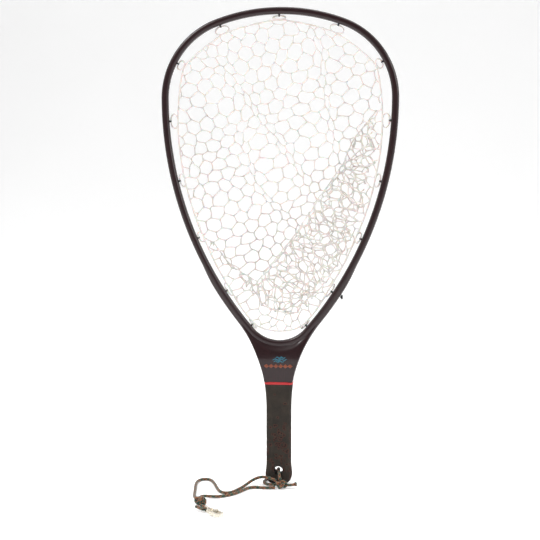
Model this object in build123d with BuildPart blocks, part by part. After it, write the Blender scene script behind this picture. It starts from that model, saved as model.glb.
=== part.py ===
"""Landing net: composite teardrop hoop, yoke and grip, laced-in rubber net bag, cord lanyard with a snap."""

import math
import os

from build123d import *

# Everything is in millimetres. Heights are measured up from the butt's lowest point, where the floor is;
# the origin is the middle of the grip, where a hand holds the net.
overall_length = 660
overall_width = 326
grip_hold_height = 72

# Hoop: one closed ring of four arc sizes a side, drawn on its centre line
hoop_width = 9.8
hoop_depth = 11
hoop_corner = 3.4
crown_radius = 249
base_radius = 51.6
crown_rise = 123
widest_height = overall_length - crown_rise
opening_base_height = 203.8

# Lacing: a cord in a groove round the hoop's outer edge, with a tie through a hole at each station
lacing_diameter = 1.1
groove_radius = 0.85
lacing_sunk = 0.45
tie_pitch = 84.2
tie_pairs = 6
lowest_tie_gap = 60
tie_hole_diameter = 2.2
tie_diameter = 1.8
tie_loop_diameter = 1.0
loop_clearance = 0.35
end_knot_height = 265
end_knot_size = (4, 5, 7)
end_knot_round = 1.6
end_knot_lift = 1.2

# Net: a rim strand inside the hoop and a bag that hangs behind it and narrows towards its foot
rim_diameter = 3.0
rim_gap = 1.5
bag_wall = 1.2
bag_depth = 124
bag_drop = 102
bag_end_scale = 0.17
bag_pivot_height = 400
bag_steps = 9

# Yoke, trim and handle
bond_gap = 0.1
horn_thickness = 2.0
horn_top_height = 325
web_radius = 200
trim_height = 143
trim_thickness = 3
trim_half_width = 19.8
handle_depth = 22
yoke_top_depth = 11.6
yoke_thin_height = 214
yoke_full_height = 176
edge_round = 4
grip_half_width = 17.25
grip_taper_height = 105
flare_half_width = 18.5
flare_height = 14
flare_start_height = 30
butt_corner = 12
grip_edge_round = 4
core_width = 28
core_depth = 15
core_corner = 3
core_wall = 2
core_base_height = 29
core_top_height = 184
fit_gap = 0.15
lanyard_hole_diameter = 12.5
lanyard_hole_height = 21
decal_width = 34
decal_height = 17
decal_thickness = 0.3
decal_center_height = 170
knot_round = 4

# Lanyard: cord routes from piece to piece, z above the floor
cord_diameter = 4
butt_knot_center = (6, -27, 6)
butt_knot_size = (16, 13, 11)
snap_knot_center = (-92, -120, 7)
snap_knot_size = (17, 16, 12)
hitch_route = [(4, -24, 11.5), (2, -18, 18), (0, 0, 19.8), (-2, 18, 18), (-9, 20.5, 6), (-19, 13, 2.2),
               (-22, -2, 2.2), (-15, -15, 2.2), (-2, -22.5, 4.5)]
upper_route = [(-1, -24, 10.5), (-14, -18, 14), (-27, -12, 12), (-38, -14, 6.5), (-46, -26, 2.2),
               (-52, -42, 2.2), (-58, -57, 2.2), (-67, -63, 2.2), (-76, -56, 2.2), (-83, -36, 2.2),
               (-90, -13, 2.2), (-98, 4, 2.2), (-109, 5, 2.2), (-115, -6, 2.2), (-114, -28, 2.2),
               (-110, -54, 2.2), (-107, -79, 3), (-103.5, -97, 5.5), (-98, -111.5, 7)]
lower_route = [(-2, -30, 2.6), (-16, -32, 2.2), (-30, -29, 2.2), (-40, -34, 2.2), (-45, -47, 2.2),
               (-55, -66, 2.2), (-69, -79, 2.2), (-83, -84, 3), (-93, -90, 5.5), (-96, -102, 7),
               (-92.5, -112, 8)]
tail_route = [(14, -27, 5.5), (20, -24.5, 4.8), (27, -22, 6.5)]

# Snap: drawn lying on the floor, local x from the eye's middle along the swivel's axis
snap_eye_center = (-80, -146, 4.4)
snap_heading = -46
eye_hole_diameter = 5.2
eye_wire = 1.6
bight_radius = 4
bight_length = 18
shank_diameter = 2.4
shank_head_diameter = 4.6
shank_head_thickness = 1.2
swivel_gap = 0.05
collar_start = 6.2
collar_length = 6
collar_diameter = 8
collar_overlap = 1
snap_length = 34
hook_width = 13
hook_opening_width = 7
hook_wall = 3
hook_thickness = 4
gate_start = 18.8
nose_start = 29
gate_gap = 0.35
pivot_x = 15.5
pivot_y = 4.6
ear_radius = 3.2
ear_proud = 0.2
ear_slot = 2.0
slot_round = 0.5
lug_thickness = 1.6
lug_radius = 2.6
gate_pin_diameter = 1.6
pin_fit = 0.05
gate_bar_width = 3
bar_overlap = 1
gate_bar_thickness = 3.2
heel_turn = 45
spring_outer_diameter = 3.0
spring_inner_diameter = 2.0
spring_height = 0.8
pocket_gap = 0.15

os.makedirs("parts", exist_ok=True)

net_plane = Plane(origin=(0, 0, -grip_hold_height), x_dir=(1, 0, 0), z_dir=(0, -1, 0))
side_plane = Plane(origin=(0, 0, -grip_hold_height), x_dir=(0, 1, 0), z_dir=(1, 0, 0))


def level(height):
    """A horizontal plane at a height above the floor."""
    return Plane(origin=(0, 0, height - grip_hold_height), x_dir=(1, 0, 0), z_dir=(0, 0, 1))


def place(point):
    """A point given with z above the floor, in the part's own frame."""
    return Vector(point[0], point[1], point[2] - grip_hold_height)


def save(piece, name):
    piece.part.label = name
    export_step(piece.part, f"parts/{name}.step")


# ---- The ring's centre line -------------------------------------------------------------------------------
# Half of it is four arcs that meet tangent: crown, shoulder, side and base. Their centres follow from the
# overall sizes, because two circles that touch inside each other have their centres the radii's difference apart.
ring_half_width = (overall_width - hoop_width) / 2
ring_top = overall_length - hoop_width / 2
ring_bottom = opening_base_height - hoop_width / 2
crown_center = (0, ring_top - crown_radius)
crown_drop = crown_center[1] - widest_height
shoulder_radius = (crown_radius**2 - ring_half_width**2 - crown_drop**2) / (2 * (crown_radius - ring_half_width))
shoulder_center = (ring_half_width - shoulder_radius, widest_height)
base_center = (0, ring_bottom + base_radius)
side_drop = widest_height - base_center[1]
side_radius = (ring_half_width**2 + side_drop**2 - base_radius**2) / (2 * (ring_half_width - base_radius))
side_center = (ring_half_width - side_radius, widest_height)
shoulder_angle = math.degrees(math.atan2(shoulder_center[1] - crown_center[1], shoulder_center[0]))
side_angle = math.degrees(math.atan2(side_drop, -side_center[0]))


def draw_ring(grow=0, scale=1, drop=0):
    """The whole ring, clockwise from its top, moved outwards by grow, then scaled and dropped."""

    def arc(center, radius, start, size):
        height = bag_pivot_height + (center[1] - bag_pivot_height) * scale - drop
        CenterArc((center[0] * scale, height), (radius + grow) * scale, start, size)

    crown_half = 90 - shoulder_angle
    mirrored_shoulder = (-shoulder_center[0], shoulder_center[1])
    mirrored_side = (-side_center[0], side_center[1])
    arc(crown_center, crown_radius, 90, -crown_half)
    arc(shoulder_center, shoulder_radius, shoulder_angle, -shoulder_angle)
    arc(side_center, side_radius, 0, -side_angle)
    arc(base_center, base_radius, -side_angle, 2 * side_angle - 180)
    arc(mirrored_side, side_radius, side_angle - 180, -side_angle)
    arc(mirrored_shoulder, shoulder_radius, 180, -shoulder_angle)
    arc(crown_center, crown_radius, 90 + crown_half, -crown_half)


with BuildLine(net_plane) as ring_line:
    draw_ring()
ring = ring_line.wires()[0]
ring_length = ring.length


def station(distance):
    """The plane of a lacing tie: z points into the opening, x runs along the ring."""
    run = distance % ring_length
    point = ring.position_at(run, PositionMode.LENGTH)
    along = ring.tangent_at(run, PositionMode.LENGTH)
    return Plane(origin=point, x_dir=along, z_dir=along.cross(Vector(0, -1, 0)))


lowest_tie = tie_pitch * tie_pairs + lowest_tie_gap
tie_distances = [0]
for pair in range(1, tie_pairs + 1):
    tie_distances += [pair * tie_pitch, -pair * tie_pitch]
tie_distances += [lowest_tie, -lowest_tie]
tie_planes = [station(distance) for distance in tie_distances]

# ---- Hoop -------------------------------------------------------------------------------------------------
lacing_inset = groove_radius - lacing_diameter / 2 + lacing_sunk
lacing_grow = hoop_width / 2 - lacing_inset

with BuildPart() as hoop:
    with BuildLine(net_plane):
        draw_ring()
    with BuildSketch(Plane(origin=ring @ 0, x_dir=(0, 0, 1), z_dir=ring % 0)):
        RectangleRounded(hoop_width, hoop_depth, hoop_corner)
        with Locations((lacing_grow, 0)):
            Circle(groove_radius, mode=Mode.SUBTRACT)
        with Locations((hoop_width / 2, 0)):
            Rectangle(2 * lacing_inset, groove_radius, mode=Mode.SUBTRACT)
    sweep(path=ring)
    with Locations(*tie_planes):
        Cylinder(tie_hole_diameter / 2, 2 * hoop_width, mode=Mode.SUBTRACT)
save(hoop, "hoop")

# ---- Lacing -----------------------------------------------------------------------------------------------
lowest_angle = math.degrees((lowest_tie - crown_radius * math.radians(90 - shoulder_angle)
                             - shoulder_radius * math.radians(shoulder_angle)) / side_radius)

with BuildPart() as lacing_cord:
    with BuildLine(net_plane) as lacing_path:
        for flip in (1, -1):
            start = 180 if flip < 0 else 0
            CenterArc((flip * side_center[0], side_center[1]), side_radius + lacing_grow, start,
                      -flip * lowest_angle)
            CenterArc((flip * shoulder_center[0], shoulder_center[1]), shoulder_radius + lacing_grow, start,
                      flip * shoulder_angle)
            CenterArc(crown_center, crown_radius + lacing_grow, 90, -flip * (90 - shoulder_angle))
    lacing_start = lacing_path.wires()[0]
    with BuildSketch(Plane(origin=lacing_start @ 0, z_dir=lacing_start % 0)):
        Circle(lacing_diameter / 2)
    sweep(path=lacing_start)
save(lacing_cord, "lacing_cord")

rim_inset = hoop_width / 2 + rim_gap + rim_diameter / 2
loop_radius = (rim_diameter + tie_loop_diameter) / 2 + loop_clearance
tie_outer_end = -lacing_grow + lacing_diameter / 2 + fit_gap
tie_inner_end = rim_inset - loop_radius + tie_loop_diameter / 4

with BuildPart() as lacing_ties:
    with Locations(*tie_planes):
        with Locations((0, 0, (tie_outer_end + tie_inner_end) / 2)):
            Cylinder(tie_diameter / 2, tie_inner_end - tie_outer_end)
        with Locations((0, 0, rim_inset)):
            Torus(loop_radius, tie_loop_diameter / 2, rotation=(0, 90, 0))
save(lacing_ties, "lacing_ties")

knot_half_width = side_center[0] + math.sqrt((side_radius + hoop_width / 2)**2 - (widest_height - end_knot_height)**2)

with BuildPart() as lacing_knot:
    knot_reach = knot_half_width + horn_thickness + end_knot_lift + end_knot_size[0] / 2
    with Locations(Location((knot_reach, 0, end_knot_height - grip_hold_height))):
        Box(*end_knot_size)
    fillet(lacing_knot.edges(), end_knot_round)
save(lacing_knot, "lacing_knot")

# ---- Net --------------------------------------------------------------------------------------------------
with BuildPart() as net_rim:
    with BuildLine(net_plane) as rim_path:
        draw_ring(grow=-rim_inset)
    rim_wire = rim_path.wires()[0]
    with BuildSketch(Plane(origin=rim_wire @ 0, z_dir=rim_wire % 0)):
        Circle(rim_diameter / 2)
    sweep(path=rim_wire)
save(net_rim, "net_rim")

bag_start = loop_radius + tie_loop_diameter / 2 + fit_gap
bag_outer_grow = bag_wall / 2 - rim_inset


def bag_sections(wall=0):
    """The bag's outlines: each narrows with the square of its depth's share and sinks with the 1.5 power."""
    sections = []
    for step in range(bag_steps + 1):
        share = math.sin(math.pi / 2 * step / bag_steps)
        scale = 1 - (1 - bag_end_scale) * share**2
        plane = net_plane.offset(-bag_start - bag_depth * share + wall * share)
        sections.append((plane, bag_outer_grow - wall / scale, scale, bag_drop * share**1.5))
    return sections


with BuildPart() as net_bag:
    for plane, grow, scale, drop in bag_sections():
        with BuildSketch(plane):
            with BuildLine():
                draw_ring(grow, scale, drop)
            make_face()
    loft(ruled=True)
    for plane, grow, scale, drop in bag_sections(wall=bag_wall):
        with BuildSketch(plane):
            with BuildLine():
                draw_ring(grow, scale, drop)
            make_face()
    loft(ruled=True, mode=Mode.SUBTRACT)
save(net_bag, "net_bag")

# ---- Yoke -------------------------------------------------------------------------------------------------
# A web arc on each side starts at the trim's edge and runs tangent into the horn that wraps the hoop: its
# centre is one radius from the trim's corner, and the two radii added up from the centre of the hoop's side.
horn_grow = hoop_width / 2 + horn_thickness
trim_top = trim_height + trim_thickness
corner = (trim_half_width, trim_top)
reach = side_radius + horn_grow + web_radius
span = math.dist(side_center, corner)
along = (reach**2 - web_radius**2 + span**2) / (2 * span)
across = math.sqrt(reach**2 - along**2)
unit = ((corner[0] - side_center[0]) / span, (corner[1] - side_center[1]) / span)
web_center = (side_center[0] + along * unit[0] - across * unit[1],
              side_center[1] + along * unit[1] + across * unit[0])
touch = (side_radius + horn_grow) / reach
web_end = (side_center[0] + touch * (web_center[0] - side_center[0]),
           side_center[1] + touch * (web_center[1] - side_center[1]))

with BuildPart() as yoke:
    with BuildSketch(net_plane):
        with BuildLine():
            RadiusArc(corner, web_end, web_radius)
            RadiusArc((-corner[0], corner[1]), (-web_end[0], web_end[1]), -web_radius)
            Line(corner, (-corner[0], corner[1]))
            Line(web_end, (-web_end[0], web_end[1]))
        make_face()
        with BuildLine():
            draw_ring(grow=horn_grow)
        make_face()
        with Locations((0, (horn_top_height + trim_top) / 2)):
            Rectangle(overall_width, horn_top_height - trim_top, mode=Mode.INTERSECT)
        with BuildLine():
            draw_ring(grow=hoop_width / 2 + bond_gap)
        make_face(mode=Mode.SUBTRACT)
    extrude(amount=handle_depth / 2, both=True)
    with BuildSketch(side_plane):
        with BuildLine():
            for side in (1, -1):
                foot = (side * handle_depth / 2, trim_top - 1)
                full = (side * handle_depth / 2, yoke_full_height)
                thin = (side * yoke_top_depth / 2, yoke_thin_height)
                tip = (side * yoke_top_depth / 2, horn_top_height + 1)
                Line(foot, full)
                Spline(full, thin, tangents=((0, 1), (0, 1)))
                Line(thin, tip)
            Line((-handle_depth / 2, trim_top - 1), (handle_depth / 2, trim_top - 1))
            Line((-yoke_top_depth / 2, horn_top_height + 1), (yoke_top_depth / 2, horn_top_height + 1))
        make_face()
    extrude(amount=overall_width / 2, both=True, mode=Mode.INTERSECT)
    with BuildSketch(level(trim_top)):
        RectangleRounded(core_width, core_depth, core_corner)
    extrude(amount=core_top_height + fit_gap - trim_top, mode=Mode.SUBTRACT)
    with Locations(Location((0, -handle_depth / 2, decal_center_height - grip_hold_height))):
        Box(decal_width + 2 * fit_gap, 2 * decal_thickness, decal_height + 2 * fit_gap, mode=Mode.SUBTRACT)
    knot_place = Location((knot_half_width, 0, end_knot_height - grip_hold_height))
    with Locations(knot_place):
        Cylinder(tie_hole_diameter / 2, 6 * horn_thickness, rotation=(0, 90, 0), mode=Mode.SUBTRACT)
save(yoke, "yoke")

with BuildPart() as decal:
    face_depth = -handle_depth / 2 + decal_thickness / 2
    with Locations(Location((0, face_depth, decal_center_height - grip_hold_height))):
        Box(decal_width, decal_thickness, decal_height)
save(decal, "decal")

# ---- Handle -----------------------------------------------------------------------------------------------
with BuildPart() as handle_core:
    with BuildSketch(level(core_base_height)):
        RectangleRounded(core_width - 2 * fit_gap, core_depth - 2 * fit_gap, core_corner - fit_gap)
    extrude(amount=core_top_height - core_base_height)
    with BuildSketch(level(core_base_height)):
        RectangleRounded(core_width - 2 * core_wall, core_depth - 2 * core_wall, core_corner - core_wall)
    extrude(amount=core_top_height - core_base_height - core_wall, mode=Mode.SUBTRACT)
save(handle_core, "handle_core")

foam_inset = core_wall + fit_gap

with BuildPart() as foam_float:
    with BuildSketch(level(core_base_height + fit_gap)):
        Rectangle(core_width - 2 * foam_inset, core_depth - 2 * foam_inset)
    extrude(amount=core_top_height - core_base_height - foam_inset - fit_gap)
    fillet(foam_float.edges().filter_by(Axis.Z), core_corner - core_wall)
save(foam_float, "foam_float")

taper_rise = trim_height - grip_taper_height
taper_reach = trim_half_width - grip_half_width
taper_radius = (taper_rise**2 + taper_reach**2) / (2 * taper_reach)

with BuildPart() as grip:
    with BuildSketch(net_plane):
        with BuildLine():
            for side in (1, -1):
                RadiusArc((side * trim_half_width, trim_height), (side * grip_half_width, grip_taper_height),
                          -side * taper_radius)
                Line((side * grip_half_width, grip_taper_height), (side * grip_half_width, flare_start_height))
                Spline((side * grip_half_width, flare_start_height), (side * flare_half_width, flare_height),
                       tangents=((0, -1), (0, -1)))
                RadiusArc((side * flare_half_width, flare_height),
                          (side * (flare_half_width - butt_corner), flare_height - butt_corner),
                          side * butt_corner)
                Spline((side * (flare_half_width - butt_corner), flare_height - butt_corner), (0, 0),
                       tangents=((-side, 0), (-side, 0)))
            Line((-trim_half_width, trim_height), (trim_half_width, trim_height))
        make_face()
    extrude(amount=handle_depth / 2, both=True)
    outline_edges = grip.edges().filter_by(Axis.Y, reverse=True).filter_by(
        lambda edge: edge.center().Z < trim_height - grip_hold_height - 1)
    fillet(outline_edges, grip_edge_round)
    with BuildSketch(level(core_base_height - fit_gap)):
        RectangleRounded(core_width, core_depth, core_corner)
    extrude(amount=trim_height, mode=Mode.SUBTRACT)
    with Locations(Location((0, 0, lanyard_hole_height - grip_hold_height))):
        Cylinder(lanyard_hole_diameter / 2, 2 * handle_depth, rotation=(90, 0, 0), mode=Mode.SUBTRACT)
save(grip, "grip")

with BuildPart() as trim_band:
    with BuildSketch(level(trim_height)):
        RectangleRounded(2 * trim_half_width, handle_depth, edge_round)
        RectangleRounded(core_width, core_depth, core_corner, mode=Mode.SUBTRACT)
    extrude(amount=trim_thickness)
save(trim_band, "trim_band")


# ---- Lanyard ----------------------------------------------------------------------------------------------
def bend_radii(name, route):
    """0.45 of the shorter run over the tangent of half the turn, at each inner point."""
    radii = []
    points = [place(point) for point in route]
    for before, here, after in zip(points, points[1:], points[2:]):
        turn = (here - before).get_angle(after - here)
        shorter = min((here - before).length, (after - here).length)
        radii.append(0.45 * shorter / math.tan(math.radians(turn / 2)))
    print(name, "radii", [round(radius, 1) for radius in radii])
    return radii


def tube_along(name, route):
    """A cord's tube of straight runs and tangent arcs."""
    points = [place(point) for point in route]
    with BuildPart() as tube:
        with BuildLine():
            FilletPolyline(*points, radius=bend_radii(name, route))
        path = tube.pending_edges_as_wire
        with BuildSketch(Plane(origin=path @ 0, z_dir=path % 0)):
            Circle(cord_diameter / 2)
        sweep(path=path)
    section = math.pi * cord_diameter**2 / 4
    print(name, "length", round(path.length, 1), "volume over section", round(tube.part.volume / section, 1))
    save(tube, name)


def rounded_knot(name, center, size):
    """The outer shape of a tied knot."""
    with BuildPart() as knot:
        with Locations(Location(place(center))):
            Box(*size)
        fillet(knot.edges(), knot_round)
    save(knot, name)


tube_along("lanyard_hitch", hitch_route)
tube_along("lanyard_leg_upper", upper_route)
tube_along("lanyard_leg_lower", lower_route)
tube_along("lanyard_tail", tail_route)
rounded_knot("butt_knot", butt_knot_center, butt_knot_size)
rounded_knot("snap_knot", snap_knot_center, snap_knot_size)

# ---- Snap -------------------------------------------------------------------------------------------------
heading = math.radians(snap_heading)
snap_axis = Vector(math.cos(heading), math.sin(heading), 0)
snap_plane = Plane(origin=place(snap_eye_center), x_dir=snap_axis, z_dir=(0, 0, 1))


def snap_section(distance):
    """The plane across the swivel's axis at a distance from the eye's middle."""
    return Plane(origin=snap_plane.origin + snap_axis * distance, x_dir=(0, 0, 1), z_dir=snap_axis)


with BuildPart() as lanyard_bight:
    with BuildLine(snap_plane):
        Line((-bight_length, -bight_radius), (-bight_radius, -bight_radius))
        ThreePointArc((-bight_radius, -bight_radius), (0, 0), (-bight_radius, bight_radius))
        Line((-bight_radius, bight_radius), (-bight_length, bight_radius))
    bight_path = lanyard_bight.pending_edges_as_wire
    with BuildSketch(Plane(origin=bight_path @ 0, z_dir=bight_path % 0)):
        Circle(cord_diameter / 2)
    sweep(path=bight_path)
save(lanyard_bight, "lanyard_bight")

eye_radius = (eye_hole_diameter + eye_wire) / 2
head_start = collar_start + collar_length / 2
with BuildPart() as swivel_eye:
    with Locations(snap_plane.location):
        Torus(eye_radius, eye_wire / 2, rotation=(90, 0, 0))
    with BuildSketch(snap_section(eye_radius)):
        Circle(shank_diameter / 2)
    extrude(amount=head_start - eye_radius)
    with BuildSketch(snap_section(head_start)):
        Circle(shank_head_diameter / 2)
    extrude(amount=shank_head_thickness)
save(swivel_eye, "swivel_eye")

hook_start = collar_start + collar_length - collar_overlap
hook_length = snap_length - hook_start
hook_center = hook_start + hook_length / 2
opening_start = hook_start + 2 * hook_wall
opening_length = snap_length - hook_wall - opening_start
# The bar's heel turns about the pivot, so the hook's wall is cut back by its reach and its lowest place
heel_reach = math.hypot(gate_start - pivot_x, pivot_y - hook_width / 2 + hook_wall) + gate_gap
heel_depth = pivot_y - heel_reach * math.sin(math.radians(heel_turn))
slot_length = ear_radius + slot_round + heel_reach
with BuildPart() as snap_body:
    with BuildSketch(snap_section(collar_start)):
        Circle(collar_diameter / 2)
    extrude(amount=collar_length)
    with BuildSketch(snap_plane):
        with Locations((hook_center, 0)):
            SlotOverall(hook_length, hook_width)
    extrude(amount=hook_thickness / 2, both=True)
    with BuildSketch(snap_plane):
        with Locations((opening_start + opening_length / 2, 0)):
            SlotOverall(opening_length, hook_opening_width)
        with Locations(((gate_start + nose_start) / 2 - gate_gap / 2, hook_width / 2)):
            Rectangle(nose_start - gate_start + gate_gap, hook_width - 2 * hook_wall)
        with Locations((pivot_x + heel_reach / 2, (pivot_y + heel_depth) / 2)):
            Rectangle(heel_reach, pivot_y - heel_depth)
    extrude(amount=hook_thickness / 2, both=True, mode=Mode.SUBTRACT)
    with BuildSketch(snap_plane):
        with Locations((pivot_x, pivot_y)):
            Circle(ear_radius)
    extrude(amount=hook_thickness / 2 + ear_proud, both=True)
    with BuildSketch(snap_plane):
        with Locations((pivot_x + slot_length / 2 - ear_radius - slot_round, pivot_y)):
            Rectangle(slot_length, 2 * (ear_radius + slot_round))
    extrude(amount=ear_slot / 2, both=True, mode=Mode.SUBTRACT)
    with BuildSketch(snap_plane):
        with Locations((pivot_x, pivot_y)):
            Circle(gate_pin_diameter / 2)
    extrude(amount=hook_thickness, both=True, mode=Mode.SUBTRACT)
    with BuildSketch(snap_section(collar_start)):
        Circle(shank_diameter / 2 + swivel_gap)
    extrude(amount=collar_length / 2, mode=Mode.SUBTRACT)
    with BuildSketch(snap_section(head_start - swivel_gap)):
        Circle(shank_head_diameter / 2 + swivel_gap)
    extrude(amount=shank_head_thickness + 2 * swivel_gap, mode=Mode.SUBTRACT)
save(snap_body, "snap_body")

with BuildPart() as snap_gate:
    with BuildSketch(snap_plane):
        with Locations((pivot_x, pivot_y)):
            Circle(lug_radius)
        with Locations(((pivot_x + gate_start) / 2, pivot_y)):
            Rectangle(gate_start - pivot_x + bar_overlap, gate_bar_width)
    extrude(amount=lug_thickness / 2, both=True)
    with BuildSketch(snap_plane):
        bar_length = nose_start - gate_gap - gate_start
        with Locations((gate_start + bar_length / 2, hook_width / 2 - hook_wall / 2)):
            Rectangle(bar_length, gate_bar_width)
    extrude(amount=gate_bar_thickness / 2, both=True)
    with BuildSketch(snap_plane):
        with Locations((pivot_x, pivot_y)):
            Circle(gate_pin_diameter / 2 + pin_fit)
    extrude(amount=hook_thickness, both=True, mode=Mode.SUBTRACT)
    with BuildSketch(snap_plane.offset(lug_thickness / 2)):
        with Locations((pivot_x, pivot_y)):
            Circle(spring_outer_diameter / 2 + pocket_gap)
    extrude(amount=-spring_height - 2 * pocket_gap, mode=Mode.SUBTRACT)
save(snap_gate, "snap_gate")

with BuildPart() as gate_pin:
    with BuildSketch(snap_plane):
        with Locations((pivot_x, pivot_y)):
            Circle(gate_pin_diameter / 2)
    extrude(amount=hook_thickness / 2 + ear_proud, both=True)
save(gate_pin, "gate_pin")

with BuildPart() as gate_spring:
    with BuildSketch(snap_plane.offset(lug_thickness / 2 - pocket_gap / 2)):
        with Locations((pivot_x, pivot_y)):
            Circle(spring_outer_diameter / 2)
            Circle(spring_inner_diameter / 2, mode=Mode.SUBTRACT)
    extrude(amount=-spring_height)
save(gate_spring, "gate_spring")
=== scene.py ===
import math

import bpy
import numpy as np
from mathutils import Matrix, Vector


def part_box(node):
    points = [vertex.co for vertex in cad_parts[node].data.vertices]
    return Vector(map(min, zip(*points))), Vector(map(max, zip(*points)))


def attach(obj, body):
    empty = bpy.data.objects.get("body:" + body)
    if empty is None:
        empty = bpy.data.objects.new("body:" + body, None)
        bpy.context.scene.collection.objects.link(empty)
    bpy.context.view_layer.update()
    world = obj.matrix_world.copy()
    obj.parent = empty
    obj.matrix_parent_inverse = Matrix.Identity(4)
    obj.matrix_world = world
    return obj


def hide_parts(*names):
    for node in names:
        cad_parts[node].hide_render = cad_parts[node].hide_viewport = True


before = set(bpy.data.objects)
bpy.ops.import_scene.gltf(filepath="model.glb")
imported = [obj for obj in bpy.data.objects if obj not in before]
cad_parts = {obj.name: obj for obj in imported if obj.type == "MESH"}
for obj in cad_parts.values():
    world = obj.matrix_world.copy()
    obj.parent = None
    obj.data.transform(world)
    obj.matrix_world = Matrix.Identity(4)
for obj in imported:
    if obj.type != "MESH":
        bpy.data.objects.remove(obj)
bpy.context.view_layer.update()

scene = bpy.context.scene
scene.view_settings.view_transform = "Standard"
floorHeight = -0.072     # the floor and the butt's lowest point; the origin is the middle of the grip

# camera
cameraPlan = dict(azimuth=6, elevation=5, distance=1.6, aimX=-0.0126, aimHeight=0.3015, lens=77.0)


def makeCamera(plan):
    # the camera stands on a sphere round the point it looks at
    azimuth, elevation = math.radians(plan["azimuth"]), math.radians(plan["elevation"])
    back = np.array([math.sin(azimuth) * math.cos(elevation), -math.cos(azimuth) * math.cos(elevation),
                     math.sin(elevation)])
    aim = np.array([plan["aimX"], 0, plan["aimHeight"] + floorHeight])
    data = bpy.data.cameras.new("camera")
    data.lens = plan["lens"]
    data.sensor_width = 36
    data.clip_end = 20
    camera = bpy.data.objects.new("camera", data)
    camera.location = aim + plan["distance"] * back
    camera.rotation_euler = (math.pi / 2 - elevation, 0, azimuth)
    scene.collection.objects.link(camera)
    scene.camera = camera


makeCamera(cameraPlan)


# mesh helpers
def unit(vectors):
    return vectors / np.maximum(np.linalg.norm(vectors, axis=-1, keepdims=True), 1e-12)


def points3(x, y, z):
    return np.stack(np.broadcast_arrays(x, y, z), axis=-1).astype(float)


def gridFaces(rows, columns, wrapRows):
    # one quad between each two rows and each two columns; columns always close on themselves
    r = np.arange(rows if wrapRows else rows - 1)[:, None]
    c = np.arange(columns)[None, :]
    nextRow, nextColumn = (r + 1) % rows, (c + 1) % columns
    corners = (r * columns + c, nextRow * columns + c,
               nextRow * columns + nextColumn, r * columns + nextColumn)
    return np.stack(np.broadcast_arrays(*corners), axis=-1).reshape(-1, 4)


def turnedOut(points, faces):
    # a closed shell's signed volume says which way its faces turn, and they are turned outwards
    a, b, c, d = (points[faces[:, k]] for k in range(4))
    volume = np.einsum("ij,ij->i", a, np.cross(b, c)).sum() + np.einsum("ij,ij->i", a, np.cross(c, d)).sum()
    return faces[:, ::-1] if volume < 0 else faces


def shellMesh(name, points, faces):
    # a face whose first and last corners are one point is a triangle
    faces = turnedOut(points, faces)
    same = faces[:, 0] == faces[:, 3]
    mesh = bpy.data.meshes.new(name)
    mesh.from_pydata(points.tolist(), [], faces[~same].tolist() + faces[same][:, :3].tolist())
    return mesh


def buildPiece(name, shell, material, replaces=()):
    # a shell is its points, its faces and a value of each named attribute for every point
    points, faces, attributes = shell
    mesh = shellMesh(name, points, faces)
    mesh.shade_smooth()
    for key, values in attributes.items():
        if values.ndim == 1:
            kind, field = "FLOAT", "value"
        elif values.shape[1] == 3:
            kind, field = "FLOAT_VECTOR", "vector"
        else:
            kind, field = "FLOAT_COLOR", "color"
        layer = mesh.attributes.new(key, kind, "POINT")
        layer.data.foreach_set(field, values.astype(np.float32).ravel())
    mesh.materials.append(material)
    piece = bpy.data.objects.new(name, mesh)
    scene.collection.objects.link(piece)
    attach(piece, "root")
    if replaces:
        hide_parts(*replaces)
    return piece


def shellFromGrid(grid, closed, values=None):
    # a grid of rings becomes a closed shell: the rows either close on themselves or end in two poles
    rows, columns = grid.shape[:2]
    points = grid.reshape(-1, 3)
    faces = gridFaces(rows, columns, closed)
    extra = {key: value.reshape(rows * columns, *value.shape[2:]) for key, value in (values or {}).items()}
    if not closed:
        first, last = len(points), len(points) + 1
        c = np.arange(columns)
        nextColumn = (c + 1) % columns
        start = np.stack([np.full(columns, first), c, nextColumn, np.full(columns, first)], axis=1)
        end = np.stack([np.full(columns, last), (rows - 1) * columns + nextColumn, (rows - 1) * columns + c,
                        np.full(columns, last)], axis=1)
        faces = np.concatenate([faces, start, end])
        points = np.concatenate([points, grid[0].mean(0)[None], grid[-1].mean(0)[None]])
        extra = {key: np.concatenate([value, value[:1], value[-1:]]) for key, value in extra.items()}
    return points, faces, extra


def joinShells(shells):
    # several shells in one piece: each one's faces count on from the points before it
    offsets = np.cumsum([0] + [len(shell[0]) for shell in shells[:-1]])
    points = np.concatenate([shell[0] for shell in shells])
    faces = np.concatenate([shell[1] + offset for shell, offset in zip(shells, offsets)])
    extra = {key: np.concatenate([shell[2][key] for shell in shells]) for key in shells[0][2]}
    return points, faces, extra


def pathFrames(path, closed, reference):
    # the sideways direction is square to the path and to a fixed reference; the third is square to both
    if closed:
        along = unit(np.roll(path, -1, axis=0) - np.roll(path, 1, axis=0))
    else:
        along = unit(np.gradient(path, axis=0))
    side = unit(np.cross(along, np.array(reference, float)))
    return side, np.cross(side, along)


def tubeGrid(path, radius, sides, closed=False, reference=(0, 0, 1)):
    # rings stand square to the path; the radius is one for each ring or one for each point
    side, rise = pathFrames(path, closed, reference)
    angle = np.linspace(0, 2 * math.pi, sides, endpoint=False)
    if radius.ndim == 1:
        radius = np.repeat(radius[:, None], sides, axis=1)
    across = radius[..., None] * np.cos(angle)[None, :, None] * side[:, None, :]
    up = radius[..., None] * np.sin(angle)[None, :, None] * rise[:, None, :]
    return path[:, None, :] + across + up


def pathLength(path):
    steps = np.linalg.norm(np.diff(path, axis=0), axis=1)
    return np.concatenate([[0], np.cumsum(steps)])


def evenPath(path, step):
    # the same line with its points an even distance apart
    run = pathLength(path)
    count = max(8, int(round(run[-1] / step)) + 1)
    even = np.linspace(0, run[-1], count)
    return np.stack([np.interp(even, run, path[:, k]) for k in range(3)], axis=1)


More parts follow.
